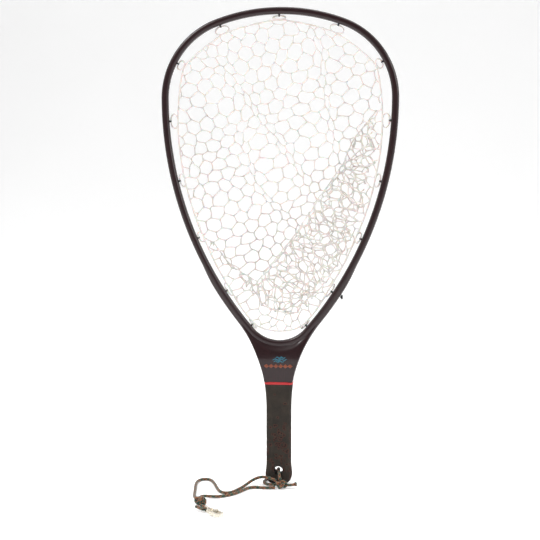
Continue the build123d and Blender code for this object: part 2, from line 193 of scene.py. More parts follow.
# shader helpers
def srgb(red, green, blue):
    # a colour given in 0..255 display values, made linear
    values = np.array([red, green, blue]) / 255
    linear = np.where(values <= 0.04045, values / 12.92, ((values + 0.055) / 1.055) ** 2.4)
    return (float(linear[0]), float(linear[1]), float(linear[2]), 1.0)


def addNode(tree, kind, **settings):
    made = tree.nodes.new(kind)
    for key, value in settings.items():
        if key in made.inputs:
            made.inputs[key].default_value = value
        else:
            setattr(made, key, value)
    return made


def addInput(group, name, kind, value):
    socket = group.interface.new_socket(name=name, in_out="INPUT", socket_type=kind)
    socket.default_value = value


def mottleGroup():
    # two tones broken up by noise, and a fine grain as height
    group = bpy.data.node_groups.new("mottle", "ShaderNodeTree")
    group.interface.new_socket(name="Colour", in_out="OUTPUT", socket_type="NodeSocketColor")
    group.interface.new_socket(name="Grain", in_out="OUTPUT", socket_type="NodeSocketFloat")
    group.interface.new_socket(name="Mask", in_out="OUTPUT", socket_type="NodeSocketFloat")
    group.interface.new_socket(name="Vector", in_out="INPUT", socket_type="NodeSocketVector")
    addInput(group, "Light", "NodeSocketColor", (1, 1, 1, 1))
    addInput(group, "Dark", "NodeSocketColor", (0, 0, 0, 1))
    addInput(group, "Patch", "NodeSocketFloat", 60)
    addInput(group, "Fine", "NodeSocketFloat", 1500)
    source = group.nodes.new("NodeGroupInput")
    sink = group.nodes.new("NodeGroupOutput")
    patch = addNode(group, "ShaderNodeTexNoise", Detail=5.0, Roughness=0.6)
    fine = addNode(group, "ShaderNodeTexNoise", Detail=3.0, Roughness=0.7)
    spread = addNode(group, "ShaderNodeMapRange")
    spread.inputs["From Min"].default_value = 0.35
    spread.inputs["From Max"].default_value = 0.65
    mix = addNode(group, "ShaderNodeMix", data_type="RGBA")
    links = group.links
    links.new(source.outputs["Vector"], patch.inputs["Vector"])
    links.new(source.outputs["Vector"], fine.inputs["Vector"])
    links.new(source.outputs["Patch"], patch.inputs["Scale"])
    links.new(source.outputs["Fine"], fine.inputs["Scale"])
    links.new(patch.outputs["Fac"], spread.inputs["Value"])
    links.new(spread.outputs["Result"], mix.inputs[0])
    links.new(source.outputs["Dark"], mix.inputs[6])
    links.new(source.outputs["Light"], mix.inputs[7])
    links.new(mix.outputs[2], sink.inputs["Colour"])
    links.new(fine.outputs["Fac"], sink.inputs["Grain"])
    links.new(spread.outputs["Result"], sink.inputs["Mask"])
    return group


mottle = mottleGroup()


def newMaterial(name, **principled):
    material = bpy.data.materials.new(name)
    material.use_nodes = True
    shader = material.node_tree.nodes["Principled BSDF"]
    for key, value in principled.items():
        shader.inputs[key.replace("_", " ")].default_value = value
    return material, material.node_tree, shader


def mottled(tree, light, dark, patch, fine, attribute=None, stretch=(1, 1, 1)):
    # a mottle group on object coordinates, or on a vector attribute that follows the surface
    if attribute:
        place = addNode(tree, "ShaderNodeAttribute", attribute_name=attribute)
        vector = place.outputs["Vector"]
    else:
        place = addNode(tree, "ShaderNodeTexCoord")
        vector = place.outputs["Object"]
    mapping = addNode(tree, "ShaderNodeMapping")
    mapping.inputs["Scale"].default_value = stretch
    tree.links.new(vector, mapping.inputs["Vector"])
    made = addNode(tree, "ShaderNodeGroup", node_tree=mottle)
    tree.links.new(mapping.outputs["Vector"], made.inputs["Vector"])
    made.inputs["Light"].default_value = light
    made.inputs["Dark"].default_value = dark
    made.inputs["Patch"].default_value = patch
    made.inputs["Fine"].default_value = fine
    return made


def grainBump(tree, shader, height, strength, distance):
    bump = addNode(tree, "ShaderNodeBump", Strength=strength, Distance=distance)
    tree.links.new(height, bump.inputs["Height"])
    tree.links.new(bump.outputs["Normal"], shader.inputs["Normal"])


def rangeOf(tree, value, low, high, fromLow=0.0, fromHigh=1.0):
    spread = addNode(tree, "ShaderNodeMapRange")
    spread.inputs["From Min"].default_value = fromLow
    spread.inputs["From Max"].default_value = fromHigh
    spread.inputs["To Min"].default_value = low
    spread.inputs["To Max"].default_value = high
    tree.links.new(value, spread.inputs["Value"])
    return spread.outputs["Result"]


def blendColour(tree, mask, under, over):
    # under shows where the mask is 0, over where it is 1; either may be a colour or an output
    mix = addNode(tree, "ShaderNodeMix", data_type="RGBA")
    tree.links.new(mask, mix.inputs[0])
    for value, socket in ((under, mix.inputs[6]), (over, mix.inputs[7])):
        if isinstance(value, tuple):
            socket.default_value = value
        else:
            tree.links.new(value, socket)
    return mix.outputs[2]


# materials
def compositeFinish():
    material, tree, shader = newMaterial("frameComposite", Roughness=0.32, Coat_Weight=0.3,
                                         Coat_Roughness=0.08, Specular_IOR_Level=0.3)
    tone = mottled(tree, srgb(42, 21, 23), srgb(27, 13, 15), 9, 160, attribute="lay", stretch=(40, 1, 1))
    wear = addNode(tree, "ShaderNodeAttribute", attribute_name="edge")
    colour = blendColour(tree, wear.outputs["Fac"], tone.outputs["Colour"], srgb(62, 44, 46))
    tree.links.new(colour, shader.inputs["Base Color"])
    tree.links.new(rangeOf(tree, tone.outputs["Grain"], 0.27, 0.45), shader.inputs["Roughness"])
    grainBump(tree, shader, tone.outputs["Grain"], 0.12, 0.0002)
    return material


def foamFinish():
    material, tree, shader = newMaterial("gripFoam", Roughness=0.8, Specular_IOR_Level=0.3)
    tone = mottled(tree, srgb(50, 43, 36), srgb(36, 31, 27), 70, 1400)
    pit = addNode(tree, "ShaderNodeAttribute", attribute_name="pit")
    rim = addNode(tree, "ShaderNodeAttribute", attribute_name="rim")
    rusted = blendColour(tree, rim.outputs["Fac"], tone.outputs["Colour"], srgb(92, 44, 30))
    # painted shade: each dent's hollow is painted near black over the rust-coloured ring round it
    colour = blendColour(tree, pit.outputs["Fac"], rusted, srgb(14, 11, 11))
    tree.links.new(colour, shader.inputs["Base Color"])
    tree.links.new(rangeOf(tree, tone.outputs["Grain"], 0.7, 0.92), shader.inputs["Roughness"])
    grainBump(tree, shader, tone.outputs["Grain"], 0.45, 0.0004)
    return material


def plasticFinish(name, light, dark, roughness, patch=120):
    material, tree, shader = newMaterial(name, Roughness=roughness)
    tone = mottled(tree, light, dark, patch, 2200)
    tree.links.new(tone.outputs["Colour"], shader.inputs["Base Color"])
    tree.links.new(rangeOf(tree, tone.outputs["Grain"], roughness - 0.06, roughness + 0.1),
                   shader.inputs["Roughness"])
    grainBump(tree, shader, tone.outputs["Grain"], 0.15, 0.0002)
    return material


def rubberFinish():
    material, tree, shader = newMaterial("netRubber", Roughness=0.35, Transmission_Weight=0.1, IOR=1.42,
                                         Specular_IOR_Level=0.4, Subsurface_Weight=0.3,
                                         Subsurface_Scale=0.002)
    tone = mottled(tree, srgb(230, 225, 220), srgb(214, 208, 203), 40, 900)
    tree.links.new(tone.outputs["Colour"], shader.inputs["Base Color"])
    tree.links.new(rangeOf(tree, tone.outputs["Grain"], 0.22, 0.42), shader.inputs["Roughness"])
    grainBump(tree, shader, tone.outputs["Grain"], 0.2, 0.0003)
    return material


def cordFinish(name, roughness=0.78, sheen=0.25):
    # the colour is the piece's own attribute, worked out strand by strand, with fibres as fine noise
    material, tree, shader = newMaterial(name, Roughness=roughness, Sheen_Weight=sheen, Sheen_Roughness=0.5,
                                         Specular_IOR_Level=0.3)
    strand = addNode(tree, "ShaderNodeAttribute", attribute_name="strandColour")
    tone = mottled(tree, (1, 1, 1, 1), (0.62, 0.62, 0.62, 1), 900, 5200)
    mix = addNode(tree, "ShaderNodeMix", data_type="RGBA", blend_type="MULTIPLY")
    mix.inputs[0].default_value = 1
    tree.links.new(strand.outputs["Color"], mix.inputs[6])
    tree.links.new(tone.outputs["Colour"], mix.inputs[7])
    tree.links.new(mix.outputs[2], shader.inputs["Base Color"])
    tree.links.new(rangeOf(tree, tone.outputs["Mask"], roughness - 0.1, roughness + 0.12),
                   shader.inputs["Roughness"])
    grainBump(tree, shader, tone.outputs["Grain"], 0.4, 0.0002)
    return material


def metalFinish(name, light, dark, roughness):
    material, tree, shader = newMaterial(name, Roughness=roughness, Metallic=1.0)
    tone = mottled(tree, light, dark, 260, 3200)
    tree.links.new(tone.outputs["Colour"], shader.inputs["Base Color"])
    tree.links.new(rangeOf(tree, tone.outputs["Mask"], roughness - 0.06, roughness + 0.14),
                   shader.inputs["Roughness"])
    grainBump(tree, shader, tone.outputs["Grain"], 0.1, 0.0001)
    return material


compositeMaterial = compositeFinish()
foamMaterial = foamFinish()
rubberMaterial = rubberFinish()
bandMaterial = plasticFinish("trimRed", srgb(188, 34, 38), srgb(160, 24, 30), 0.36)
rippleMaterial = plasticFinish("printTeal", srgb(34, 104, 124), srgb(26, 84, 102), 0.45, 400)
diamondMaterial = plasticFinish("printRust", srgb(132, 66, 36), srgb(108, 50, 30), 0.45, 400)
coreMaterial = plasticFinish("coreComposite", srgb(48, 46, 46), srgb(30, 29, 30), 0.5)
floatMaterial = plasticFinish("foamWhite", srgb(236, 234, 226), srgb(214, 211, 202), 0.85, 300)
cordMaterial = cordFinish("cordCamo")
lacingMaterial = cordFinish("lacingBlack", 0.6, 0.1)
nickelMaterial = metalFinish("snapNickel", srgb(226, 219, 206), srgb(196, 188, 172), 0.2)
springMaterial = metalFinish("springSteel", srgb(190, 190, 188), srgb(150, 150, 150), 0.3)
print("materials made")

# cords: the routes of the lanyard, from piece to piece, each point's height above the floor
cordPlan = dict(diameter=0.004, strands=8, turn=0.0135, relief=0.09, step=0.00042, sides=32,
                green=srgb(26, 92, 76), dark=srgb(20, 30, 26), tan=srgb(164, 102, 66), brown=srgb(62, 36, 26))
hitchRoute = [(0.004, -0.024, 0.0115), (0.002, -0.018, 0.018), (0, 0, 0.0198), (-0.002, 0.018, 0.018),
              (-0.009, 0.0205, 0.006), (-0.019, 0.013, 0.0022), (-0.022, -0.002, 0.0022),
              (-0.015, -0.015, 0.0022), (-0.002, -0.0225, 0.0045)]
upperRoute = [(-0.001, -0.024, 0.0105), (-0.014, -0.018, 0.014), (-0.027, -0.012, 0.012),
              (-0.038, -0.014, 0.0065), (-0.046, -0.026, 0.0022), (-0.052, -0.042, 0.0022),
              (-0.058, -0.057, 0.0022), (-0.067, -0.063, 0.0022), (-0.076, -0.056, 0.0022),
              (-0.083, -0.036, 0.0022), (-0.09, -0.013, 0.0022), (-0.098, 0.004, 0.0022),
              (-0.109, 0.005, 0.0022), (-0.115, -0.006, 0.0022), (-0.114, -0.028, 0.0022),
              (-0.11, -0.054, 0.0022), (-0.107, -0.079, 0.003), (-0.1035, -0.097, 0.0055),
              (-0.098, -0.1115, 0.007)]
lowerRoute = [(-0.002, -0.03, 0.0026), (-0.016, -0.032, 0.0022), (-0.03, -0.029, 0.0022),
              (-0.04, -0.034, 0.0022), (-0.045, -0.047, 0.0022), (-0.055, -0.066, 0.0022),
              (-0.069, -0.079, 0.0022), (-0.083, -0.084, 0.003), (-0.093, -0.09, 0.0055),
              (-0.096, -0.102, 0.007), (-0.0925, -0.112, 0.008)]
tailRoute = [(0.014, -0.027, 0.0055), (0.02, -0.0245, 0.0048), (0.027, -0.022, 0.0065)]


def routeLine(name, route):
    # one smooth spline with the route's points as its control points, read back as a line of points
    curve = bpy.data.curves.new(name, "CURVE")
    curve.dimensions = "3D"
    curve.resolution_u = 24
    spline = curve.splines.new("NURBS")
    spline.points.add(len(route) - 1)
    for control, point in zip(spline.points, route):
        control.co = (point[0], point[1], point[2] + floorHeight, 1)
    spline.order_u = 3
    spline.use_endpoint_u = True
    holder = bpy.data.objects.new(name, curve)
    line = bpy.data.meshes.new_from_object(holder)
    places = np.zeros(len(line.vertices) * 3)
    line.vertices.foreach_get("co", places)
    bpy.data.objects.remove(holder)
    bpy.data.meshes.remove(line)
    return places.reshape(-1, 3)


def braidShell(path, plan, closed=False, swell=None, colours=None):
    # two families of strands wind round the cord, one each way, and cross over and under like a
    # chequerboard; a strand stands up as the sine of its own width and each has its own colour
    if closed:
        total = np.linalg.norm(np.roll(path, -1, axis=0) - path, axis=1).sum()
        run = np.linspace(0, total, len(path), endpoint=False)
        turns = max(1, round(total / plan["turn"]))
        turn = total / turns
    else:
        run = pathLength(path)
        turn = plan["turn"]
    count = plan["strands"]
    angle = np.linspace(0, 2 * math.pi, plan["sides"], endpoint=False)
    around = count * angle[None, :] / (2 * math.pi)
    forward = around + count * run[:, None] / turn
    backward = around - count * run[:, None] / turn + 0.02
    over = (np.floor(forward) + np.floor(backward)) % 2 < 1
    crown = np.where(over, np.abs(np.sin(math.pi * forward)), np.abs(np.sin(math.pi * backward)))
    radius = plan["diameter"] / 2 * (1 - plan["relief"] * (1 - np.sqrt(crown)))
    if swell is not None:
        radius = radius * swell[:, None]
    palette = np.array(colours)
    picked = np.where(over, np.floor(forward) % count, count + np.floor(backward) % count).astype(int)
    shell = tubeGrid(path, radius, plan["sides"], closed)
    return shellFromGrid(shell, closed, {"strandColour": palette[picked]})


camoColours = [cordPlan[key] for key in ("green", "green", "dark", "green", "tan", "tan", "brown", "tan",
                                         "green", "dark", "brown", "tan", "green", "brown", "dark", "tan")]


def closedEnds(path, blunt=0.0012):
    # a radius factor that draws each end of a cord in over its last millimetre
    run = pathLength(path)
    nearest = np.minimum(run, run[-1] - run)
    return np.sqrt(np.clip(1 - (1 - np.clip(nearest / blunt, 0, 1)) ** 2, 0.04, 1))


def laidCord(name, route, nodes):
    line = evenPath(routeLine(name + "Line", route), cordPlan["step"])
    shell = braidShell(line, cordPlan, swell=closedEnds(line), colours=camoColours)
    return buildPiece(name, shell, cordMaterial, nodes), line


def trefoil(count):
    # x = sin t + 2 sin 2t, y = cos t - 2 cos 2t, z = -sin 3t, each scaled to reach from -1 to 1
    t = np.linspace(0, 2 * math.pi, count, endpoint=False)
    raw = points3(np.sin(t) + 2 * np.sin(2 * t), np.cos(t) - 2 * np.cos(2 * t), -np.sin(3 * t))
    return raw / np.abs(raw).max(axis=0)


def knotLine(center, size, tilt, count=420):
    # a trefoil that fills the knot's box and leans over by a tilt about x
    shaped = trefoil(count) * (np.array(size) / 2 - cordPlan["diameter"] / 2)
    c, s = math.cos(tilt), math.sin(tilt)
    turned = points3(shaped[:, 0], c * shaped[:, 1] - s * shaped[:, 2], s * shaped[:, 1] + c * shaped[:, 2])
    return turned + np.array([center[0], center[1], center[2] + floorHeight])


def ovalLoop(center, half, tilt, count=160):
    # an oval in the plane of x and z, leaning over by a tilt about x
    t = np.linspace(0, 2 * math.pi, count, endpoint=False)
    x, z = half[0] * np.cos(t), half[1] * np.sin(t)
    c, s = math.cos(tilt), math.sin(tilt)
    return points3(center[0] + x, center[1] + s * z, center[2] + floorHeight + c * z)


def tiedKnot(name, lines, node):
    shells = [braidShell(line, cordPlan, closed=True, colours=camoColours) for line in lines]
    return buildPiece(name, joinShells(shells), cordMaterial, (node,))


buttKnot = tiedKnot("buttKnot", (knotLine((0.006, -0.027, 0.0062), (0.0165, 0.0125, 0.0105), 0.5),
                                 ovalLoop((0.0045, -0.027, 0.0066), (0.0042, 0.0034), 0.9)), "butt_knot")
snapKnot = tiedKnot("snapKnot", (knotLine((-0.092, -0.12, 0.0072), (0.0165, 0.0155, 0.0115), -0.35),
                                 ovalLoop((-0.0935, -0.119, 0.0075), (0.0046, 0.0036), 0.6)), "snap_knot")

# the tail behind the knot frays: it swells over its last stretch
tailLine = evenPath(routeLine("tailLine", tailRoute), cordPlan["step"])
tailRun = pathLength(tailLine) / pathLength(tailLine)[-1]
tailSwell = closedEnds(tailLine) * (0.92 + 0.8 * np.clip((tailRun - 0.55) / 0.45, 0, 1) ** 1.5)
tailShell = braidShell(tailLine, cordPlan, swell=tailSwell, colours=camoColours)
lanyardTail = buildPiece("lanyardTail", tailShell, cordMaterial, ("lanyard_tail",))

hitch, hitchLine = laidCord("lanyardHitch", hitchRoute, ("lanyard_hitch",))
upperLeg, upperLine = laidCord("lanyardUpperLeg", upperRoute, ("lanyard_leg_upper",))
lowerLeg, lowerLine = laidCord("lanyardLowerLeg", lowerRoute, ("lanyard_leg_lower",))

# the bight: the lanyard's doubled end goes through the snap's eye and back into the knot
snapPlan = dict(eye=(-0.080, -0.146, 0.0044), heading=math.radians(-46), bightRadius=0.004, bightLength=0.018)


def snapPlace(x, y, z):
    # x runs from the eye's middle along the swivel's axis, y to its left, z up from the axis
    c, s = math.cos(snapPlan["heading"]), math.sin(snapPlan["heading"])
    eye = snapPlan["eye"]
    return points3(eye[0] + c * x - s * y, eye[1] + s * x + c * y, eye[2] + floorHeight + z)


def bightLine(plan, bendPoints=60, legPoints=69):
    # a straight leg out of the knot, half a turn round the eye, and a straight leg back
    radius = plan["bightRadius"]
    reach = plan["bightLength"] - radius
    bend = np.linspace(-math.pi / 2, math.pi / 2, bendPoints)
    legRun = np.linspace(0, 1, legPoints + 1)
    x = np.concatenate([-plan["bightLength"] + legRun[:-1] * reach, radius * (np.cos(bend) - 1),
                        -radius - legRun[1:] * reach])
    y = np.concatenate([np.full(legPoints, -1.0), np.sin(bend), np.full(legPoints, 1.0)]) * radius
    return evenPath(snapPlace(x, y, np.zeros_like(x)), cordPlan["step"])


bightPath = bightLine(snapPlan)
bightShell = braidShell(bightPath, cordPlan, swell=closedEnds(bightPath), colours=camoColours)
bight = buildPiece("lanyardBight", bightShell, cordMaterial, ("lanyard_bight",))

print("cords laid")

# the ring: four arc sizes a side that meet tangent, clockwise from the top
ringPlan = dict(length=0.660, width=0.326, bar=0.0098, depth=0.011, crown=0.249, base=0.0516, widest=0.537,
                opening=0.2038)


def ringArcs(plan):
    # each row: centre x, centre height, radius, first angle, turn; circles that touch inside each other
    # have their centres the radii's difference apart
    half = (plan["width"] - plan["bar"]) / 2
    crownHeight = plan["length"] - plan["bar"] / 2 - plan["crown"]
    drop = crownHeight - plan["widest"]
    shoulder = (plan["crown"] ** 2 - half ** 2 - drop ** 2) / (2 * (plan["crown"] - half))
    baseHeight = plan["opening"] - plan["bar"] / 2 + plan["base"]
    sideDrop = plan["widest"] - baseHeight
    side = (half ** 2 + sideDrop ** 2 - plan["base"] ** 2) / (2 * (half - plan["base"]))
    shoulderAngle = math.atan2(plan["widest"] - crownHeight, half - shoulder)
    sideAngle = math.atan2(sideDrop, side - half)
    return np.array([
        (0, crownHeight, plan["crown"], math.pi / 2, shoulderAngle - math.pi / 2),
        (half - shoulder, plan["widest"], shoulder, shoulderAngle, -shoulderAngle),
        (half - side, plan["widest"], side, 0, -sideAngle),
        (0, baseHeight, plan["base"], -sideAngle, 2 * sideAngle - math.pi),
        (side - half, plan["widest"], side, sideAngle - math.pi, -sideAngle),
        (shoulder - half, plan["widest"], shoulder, math.pi, -shoulderAngle),
        (0, crownHeight, plan["crown"], math.pi - shoulderAngle, shoulderAngle - math.pi / 2)])


arcs = ringArcs(ringPlan)
arcEnds = np.concatenate([[0], np.cumsum(np.abs(arcs[:, 4]) * arcs[:, 2])])
ringLength = arcEnds[-1]


def ringAt(distance, grow=0.0):
    # the point at a distance along the ring from its top, moved outwards by grow, and its outward direction
    distance = np.mod(np.asarray(distance, float), ringLength)
    index = np.clip(np.searchsorted(arcEnds, distance, side="right") - 1, 0, len(arcs) - 1)
    arc = arcs[index]
    share = (distance - arcEnds[index]) / (arcEnds[index + 1] - arcEnds[index])
    angle = arc[:, 3] + arc[:, 4] * share
    outward = points3(np.cos(angle), 0 * angle, np.sin(angle))
    center = points3(arc[:, 0], 0 * angle, arc[:, 1] + floorHeight)
    return center + outward * (arc[:, 2] + grow)[:, None], outward


def superellipse(angle, squareness):
    # the points of |u|^n + |v|^n = 1
    power = 2 / squareness
    u = np.sign(np.cos(angle)) * np.abs(np.cos(angle)) ** power
    v = np.sign(np.sin(angle)) * np.abs(np.sin(angle)) ** power
    return u, v


# hoop
hoopPlan = dict(rows=760, columns=92, squareness=2.7, groove=0.0011, grooveWidth=0.0008)


def makeHoop(ring, plan):
    # the section is a superellipse with the lacing's groove along its outer edge
    run = np.linspace(0, ringLength, plan["rows"], endpoint=False)
    line, outward = ringAt(run)
    angle = np.linspace(0, 2 * math.pi, plan["columns"], endpoint=False)
    u, v = superellipse(angle, plan["squareness"])
    edge = np.clip((np.hypot(u, v) - 1.08) / 0.16, 0, 1)
    across = u * ring["bar"] / 2
    deep = v * ring["depth"] / 2
    across = across - plan["groove"] * (u > 0) * np.exp(-(deep / plan["grooveWidth"]) ** 2)
    grid = line[:, None, :] + outward[:, None, :] * across[None, :, None] + \
        points3(0 * deep, deep, 0 * deep)[None, :, :]
    lay = points3(run[:, None] * 0.4, np.cos(angle)[None, :] * 1.4, np.sin(angle)[None, :] * 1.4)
    wear = np.broadcast_to(0.35 * edge[None, :], grid.shape[:2])
    shell = shellFromGrid(grid, True, {"lay": lay, "edge": wear})
    return buildPiece("hoopBar", shell, compositeMaterial, ("hoop",))


hoopBar = makeHoop(ringPlan, hoopPlan)

# yoke: front and back faces stretched from the ring's lower part to the yoke's outline
yokePlan = dict(hornTop=0.325, hornGrow=0.0069, tipInset=0.0006, bandTop=0.146, bandHalf=0.0198,
                webRadius=0.200, footReach=0.024, deep=0.011, thin=0.0057, fullHeight=0.176,
                thinHeight=0.214, rounding=0.0042, sharp=0.0004, valleyDeep=0.0046, valleyStart=0.0022,
                valleyEnd=0.0095, tipDepth=0.93, hornRows=110, webRows=110, footRows=41, across=26)


def blendStep(value, low, high):
    # 0 below low, 1 above high, and a smooth cubic between
    share = np.clip((value - low) / (high - low), 0, 1)
    return share * share * (3 - 2 * share)


def yokeOutline(plan):
    # right half from the horn's tip down: the ring's parallel curve, the web's arc, and the band's top edge
    side = arcs[2]
    corner = np.array([plan["bandHalf"], plan["bandTop"]])
    center = side[:2]
    reach = side[2] + plan["hornGrow"] + plan["webRadius"]
    span = math.dist(center, corner)
    along = (reach ** 2 - plan["webRadius"] ** 2 + span ** 2) / (2 * span)
    across = math.sqrt(reach ** 2 - along ** 2)
    lean = (corner - center) / span
    webCenter = center + along * lean + across * np.array([-lean[1], lean[0]])
    touch = center + (webCenter - center) * (side[2] + plan["hornGrow"]) / reach
    tipAngle = math.asin((plan["hornTop"] - center[1]) / (side[2] + plan["hornGrow"]))
    touchAngle = math.atan2(touch[1] - center[1], touch[0] - center[0])
    startAngle = math.atan2(touch[1] - webCenter[1], touch[0] - webCenter[0])
    endAngle = math.atan2(corner[1] - webCenter[1], corner[0] - webCenter[0])
    return center, tipAngle, touchAngle, webCenter, startAngle, endAngle


def mirroredRows(rows):
    # the right half's rows followed by the left half's, from the last but one back to the first
    return np.concatenate([rows, rows[-2::-1]])


def makeYoke(ring, plan):
    center, tipAngle, touchAngle, webCenter, startAngle, endAngle = yokeOutline(plan)
    side = arcs[2]
    # t runs 0 to 1 along the horn, 1 to 2 along the web, 2 to 3 along half of the band's edge
    t = np.concatenate([np.linspace(0, 1, plan["hornRows"], endpoint=False),
                        np.linspace(1, 2, plan["webRows"], endpoint=False),
                        np.linspace(2, 3, plan["footRows"])])
    horn, web, foot = np.clip(t, 0, 1), np.clip(t - 1, 0, 1), np.clip(t - 2, 0, 1)
    hornAngle = tipAngle + (touchAngle - tipAngle) * horn
    webAngle = np.unwrap([startAngle, endAngle])
    webAngle = webAngle[0] + (webAngle[1] - webAngle[0]) * web
    # the horn starts just inside the bar's outer edge and is at its full reach half-way down
    feather = blendStep(horn, 0, 0.5)
    tipGrow = ring["bar"] / 2 - plan["tipInset"]
    reach = side[2] + tipGrow + (plan["hornGrow"] - tipGrow) * feather
    outerX = np.where(t < 1, center[0] + reach * np.cos(hornAngle),
                      webCenter[0] + plan["webRadius"] * np.cos(webAngle))
    outerZ = np.where(t < 1, center[1] + reach * np.sin(hornAngle),
                      webCenter[1] + plan["webRadius"] * np.sin(webAngle))
    outerX = np.where(t > 2, plan["bandHalf"] * (1 - foot), outerX)
    outerZ = np.where(t > 2, plan["bandTop"], outerZ)
    # the ring's own share of each stretch: the horn keeps pace, the web and foot share what is left
    tipRun = arcEnds[2] - side[2] * tipAngle
    touchRun = arcEnds[2] - side[2] * touchAngle
    bottomRun = ringLength / 2
    footRun = bottomRun - plan["footReach"]
    innerRun = np.where(t < 1, tipRun + (touchRun - tipRun) * horn,
                        touchRun + (footRun - touchRun) * web ** 0.85)
    innerRun = np.where(t > 2, footRun + (bottomRun - footRun) * foot, innerRun)
    inner = ringAt(innerRun)[0]
    outer = points3(outerX, 0 * outerX, outerZ + floorHeight)
    mirror = np.where(np.arange(2 * len(t) - 1) < len(t), 1, -1)[:, None]
    inner, outer = mirroredRows(inner), mirroredRows(outer)
    inner[:, :1] *= mirror
    outer[:, :1] *= mirror
    rounding = mirroredRows(plan["rounding"] * (1 - blendStep(t, 1.9, 2.05)) + plan["sharp"])
    flatEdge = rounding < 0.001
    feather = mirroredRows(feather)
    # v goes out from the ring, closer set near the rounded edge
    v = 1 - (1 - np.linspace(0, 1, plan["across"])) ** 1.9
    place = inner[:, None, :] + (outer - inner)[:, None, :] * v[None, :, None]
    width = np.linalg.norm(outer - inner, axis=1)
    gap = width[:, None] * (1 - v)[None, :]
    height = place[..., 2] - floorHeight
    halfDepth = plan["deep"] + (plan["thin"] - plan["deep"]) * blendStep(height, plan["fullHeight"],
                                                                          plan["thinHeight"])
    # a shallow valley follows the ring, and the outer edge is rounded as a quarter of a circle
    valley = blendStep(width[:, None] * v[None, :], plan["valleyStart"], plan["valleyEnd"])
    front = np.minimum(plan["valleyDeep"] + (halfDepth - plan["valleyDeep"]) * valley, halfDepth)
    curve = np.sqrt(1 - (1 - np.clip(gap / rounding[:, None], 0, 1)) ** 2)
    front = front * (plan["tipDepth"] + (1 - plan["tipDepth"]) * feather[:, None]) * curve
    front[flatEdge, -1] = halfDepth[flatEdge, -1]
    backFace = place + points3(0 * front, front, 0 * front)
    frontFace = place + points3(0 * front, -front, 0 * front)
    grid = np.concatenate([frontFace, backFace[:, ::-1]], axis=1)
    lay = points3(grid[..., 0] * 6, grid[..., 1] * 60, grid[..., 2] * 6)
    wear = np.concatenate([np.clip(1 - gap / 0.002, 0, 1)] * 2, axis=1) * 0.25
    wear[flatEdge] = 0
    shell = shellFromGrid(grid, False, {"lay": lay, "edge": wear})
    return buildPiece("yokeBody", shell, compositeMaterial, ("yoke",))


yokeBody = makeYoke(ringPlan, yokePlan)
print("hoop and yoke made")

# grip and trim band
gripPlan = dict(top=0.143, waist=0.01725, topHalf=0.0198, taper=0.105, flareHalf=0.0186, flareHeight=0.014,
                flareStart=0.032, buttRise=0.015, half=0.011, hole=0.00625, holeHeight=0.021, rows=330,
                buttRows=45, columns=250, pits=300, pitSeed=7)


def gripWidth(height, plan):
    # straight in the middle, an arc out to the band above, a soft flare to the butt below
    up = np.clip((height - plan["taper"]) / (plan["top"] - plan["taper"]), 0, None)
    flare = 1 - blendStep(height, plan["flareHeight"], plan["flareStart"])
    widening = (plan["topHalf"] - plan["waist"]) * up ** 2
    return plan["waist"] + widening + (plan["flareHalf"] - plan["waist"]) * flare


def sectionRing(columns, squareness, aspect=0.62):
    # points of a superellipse at even distances round it, for a section aspect times as deep as wide
    u, v = superellipse(np.linspace(0, 2 * math.pi, 4001), squareness)
    run = np.concatenate([[0], np.cumsum(np.hypot(np.diff(u), aspect * np.diff(v)))])
    even = np.linspace(0, run[-1], columns, endpoint=False)
    return np.interp(even, run, u), np.interp(even, run, v)


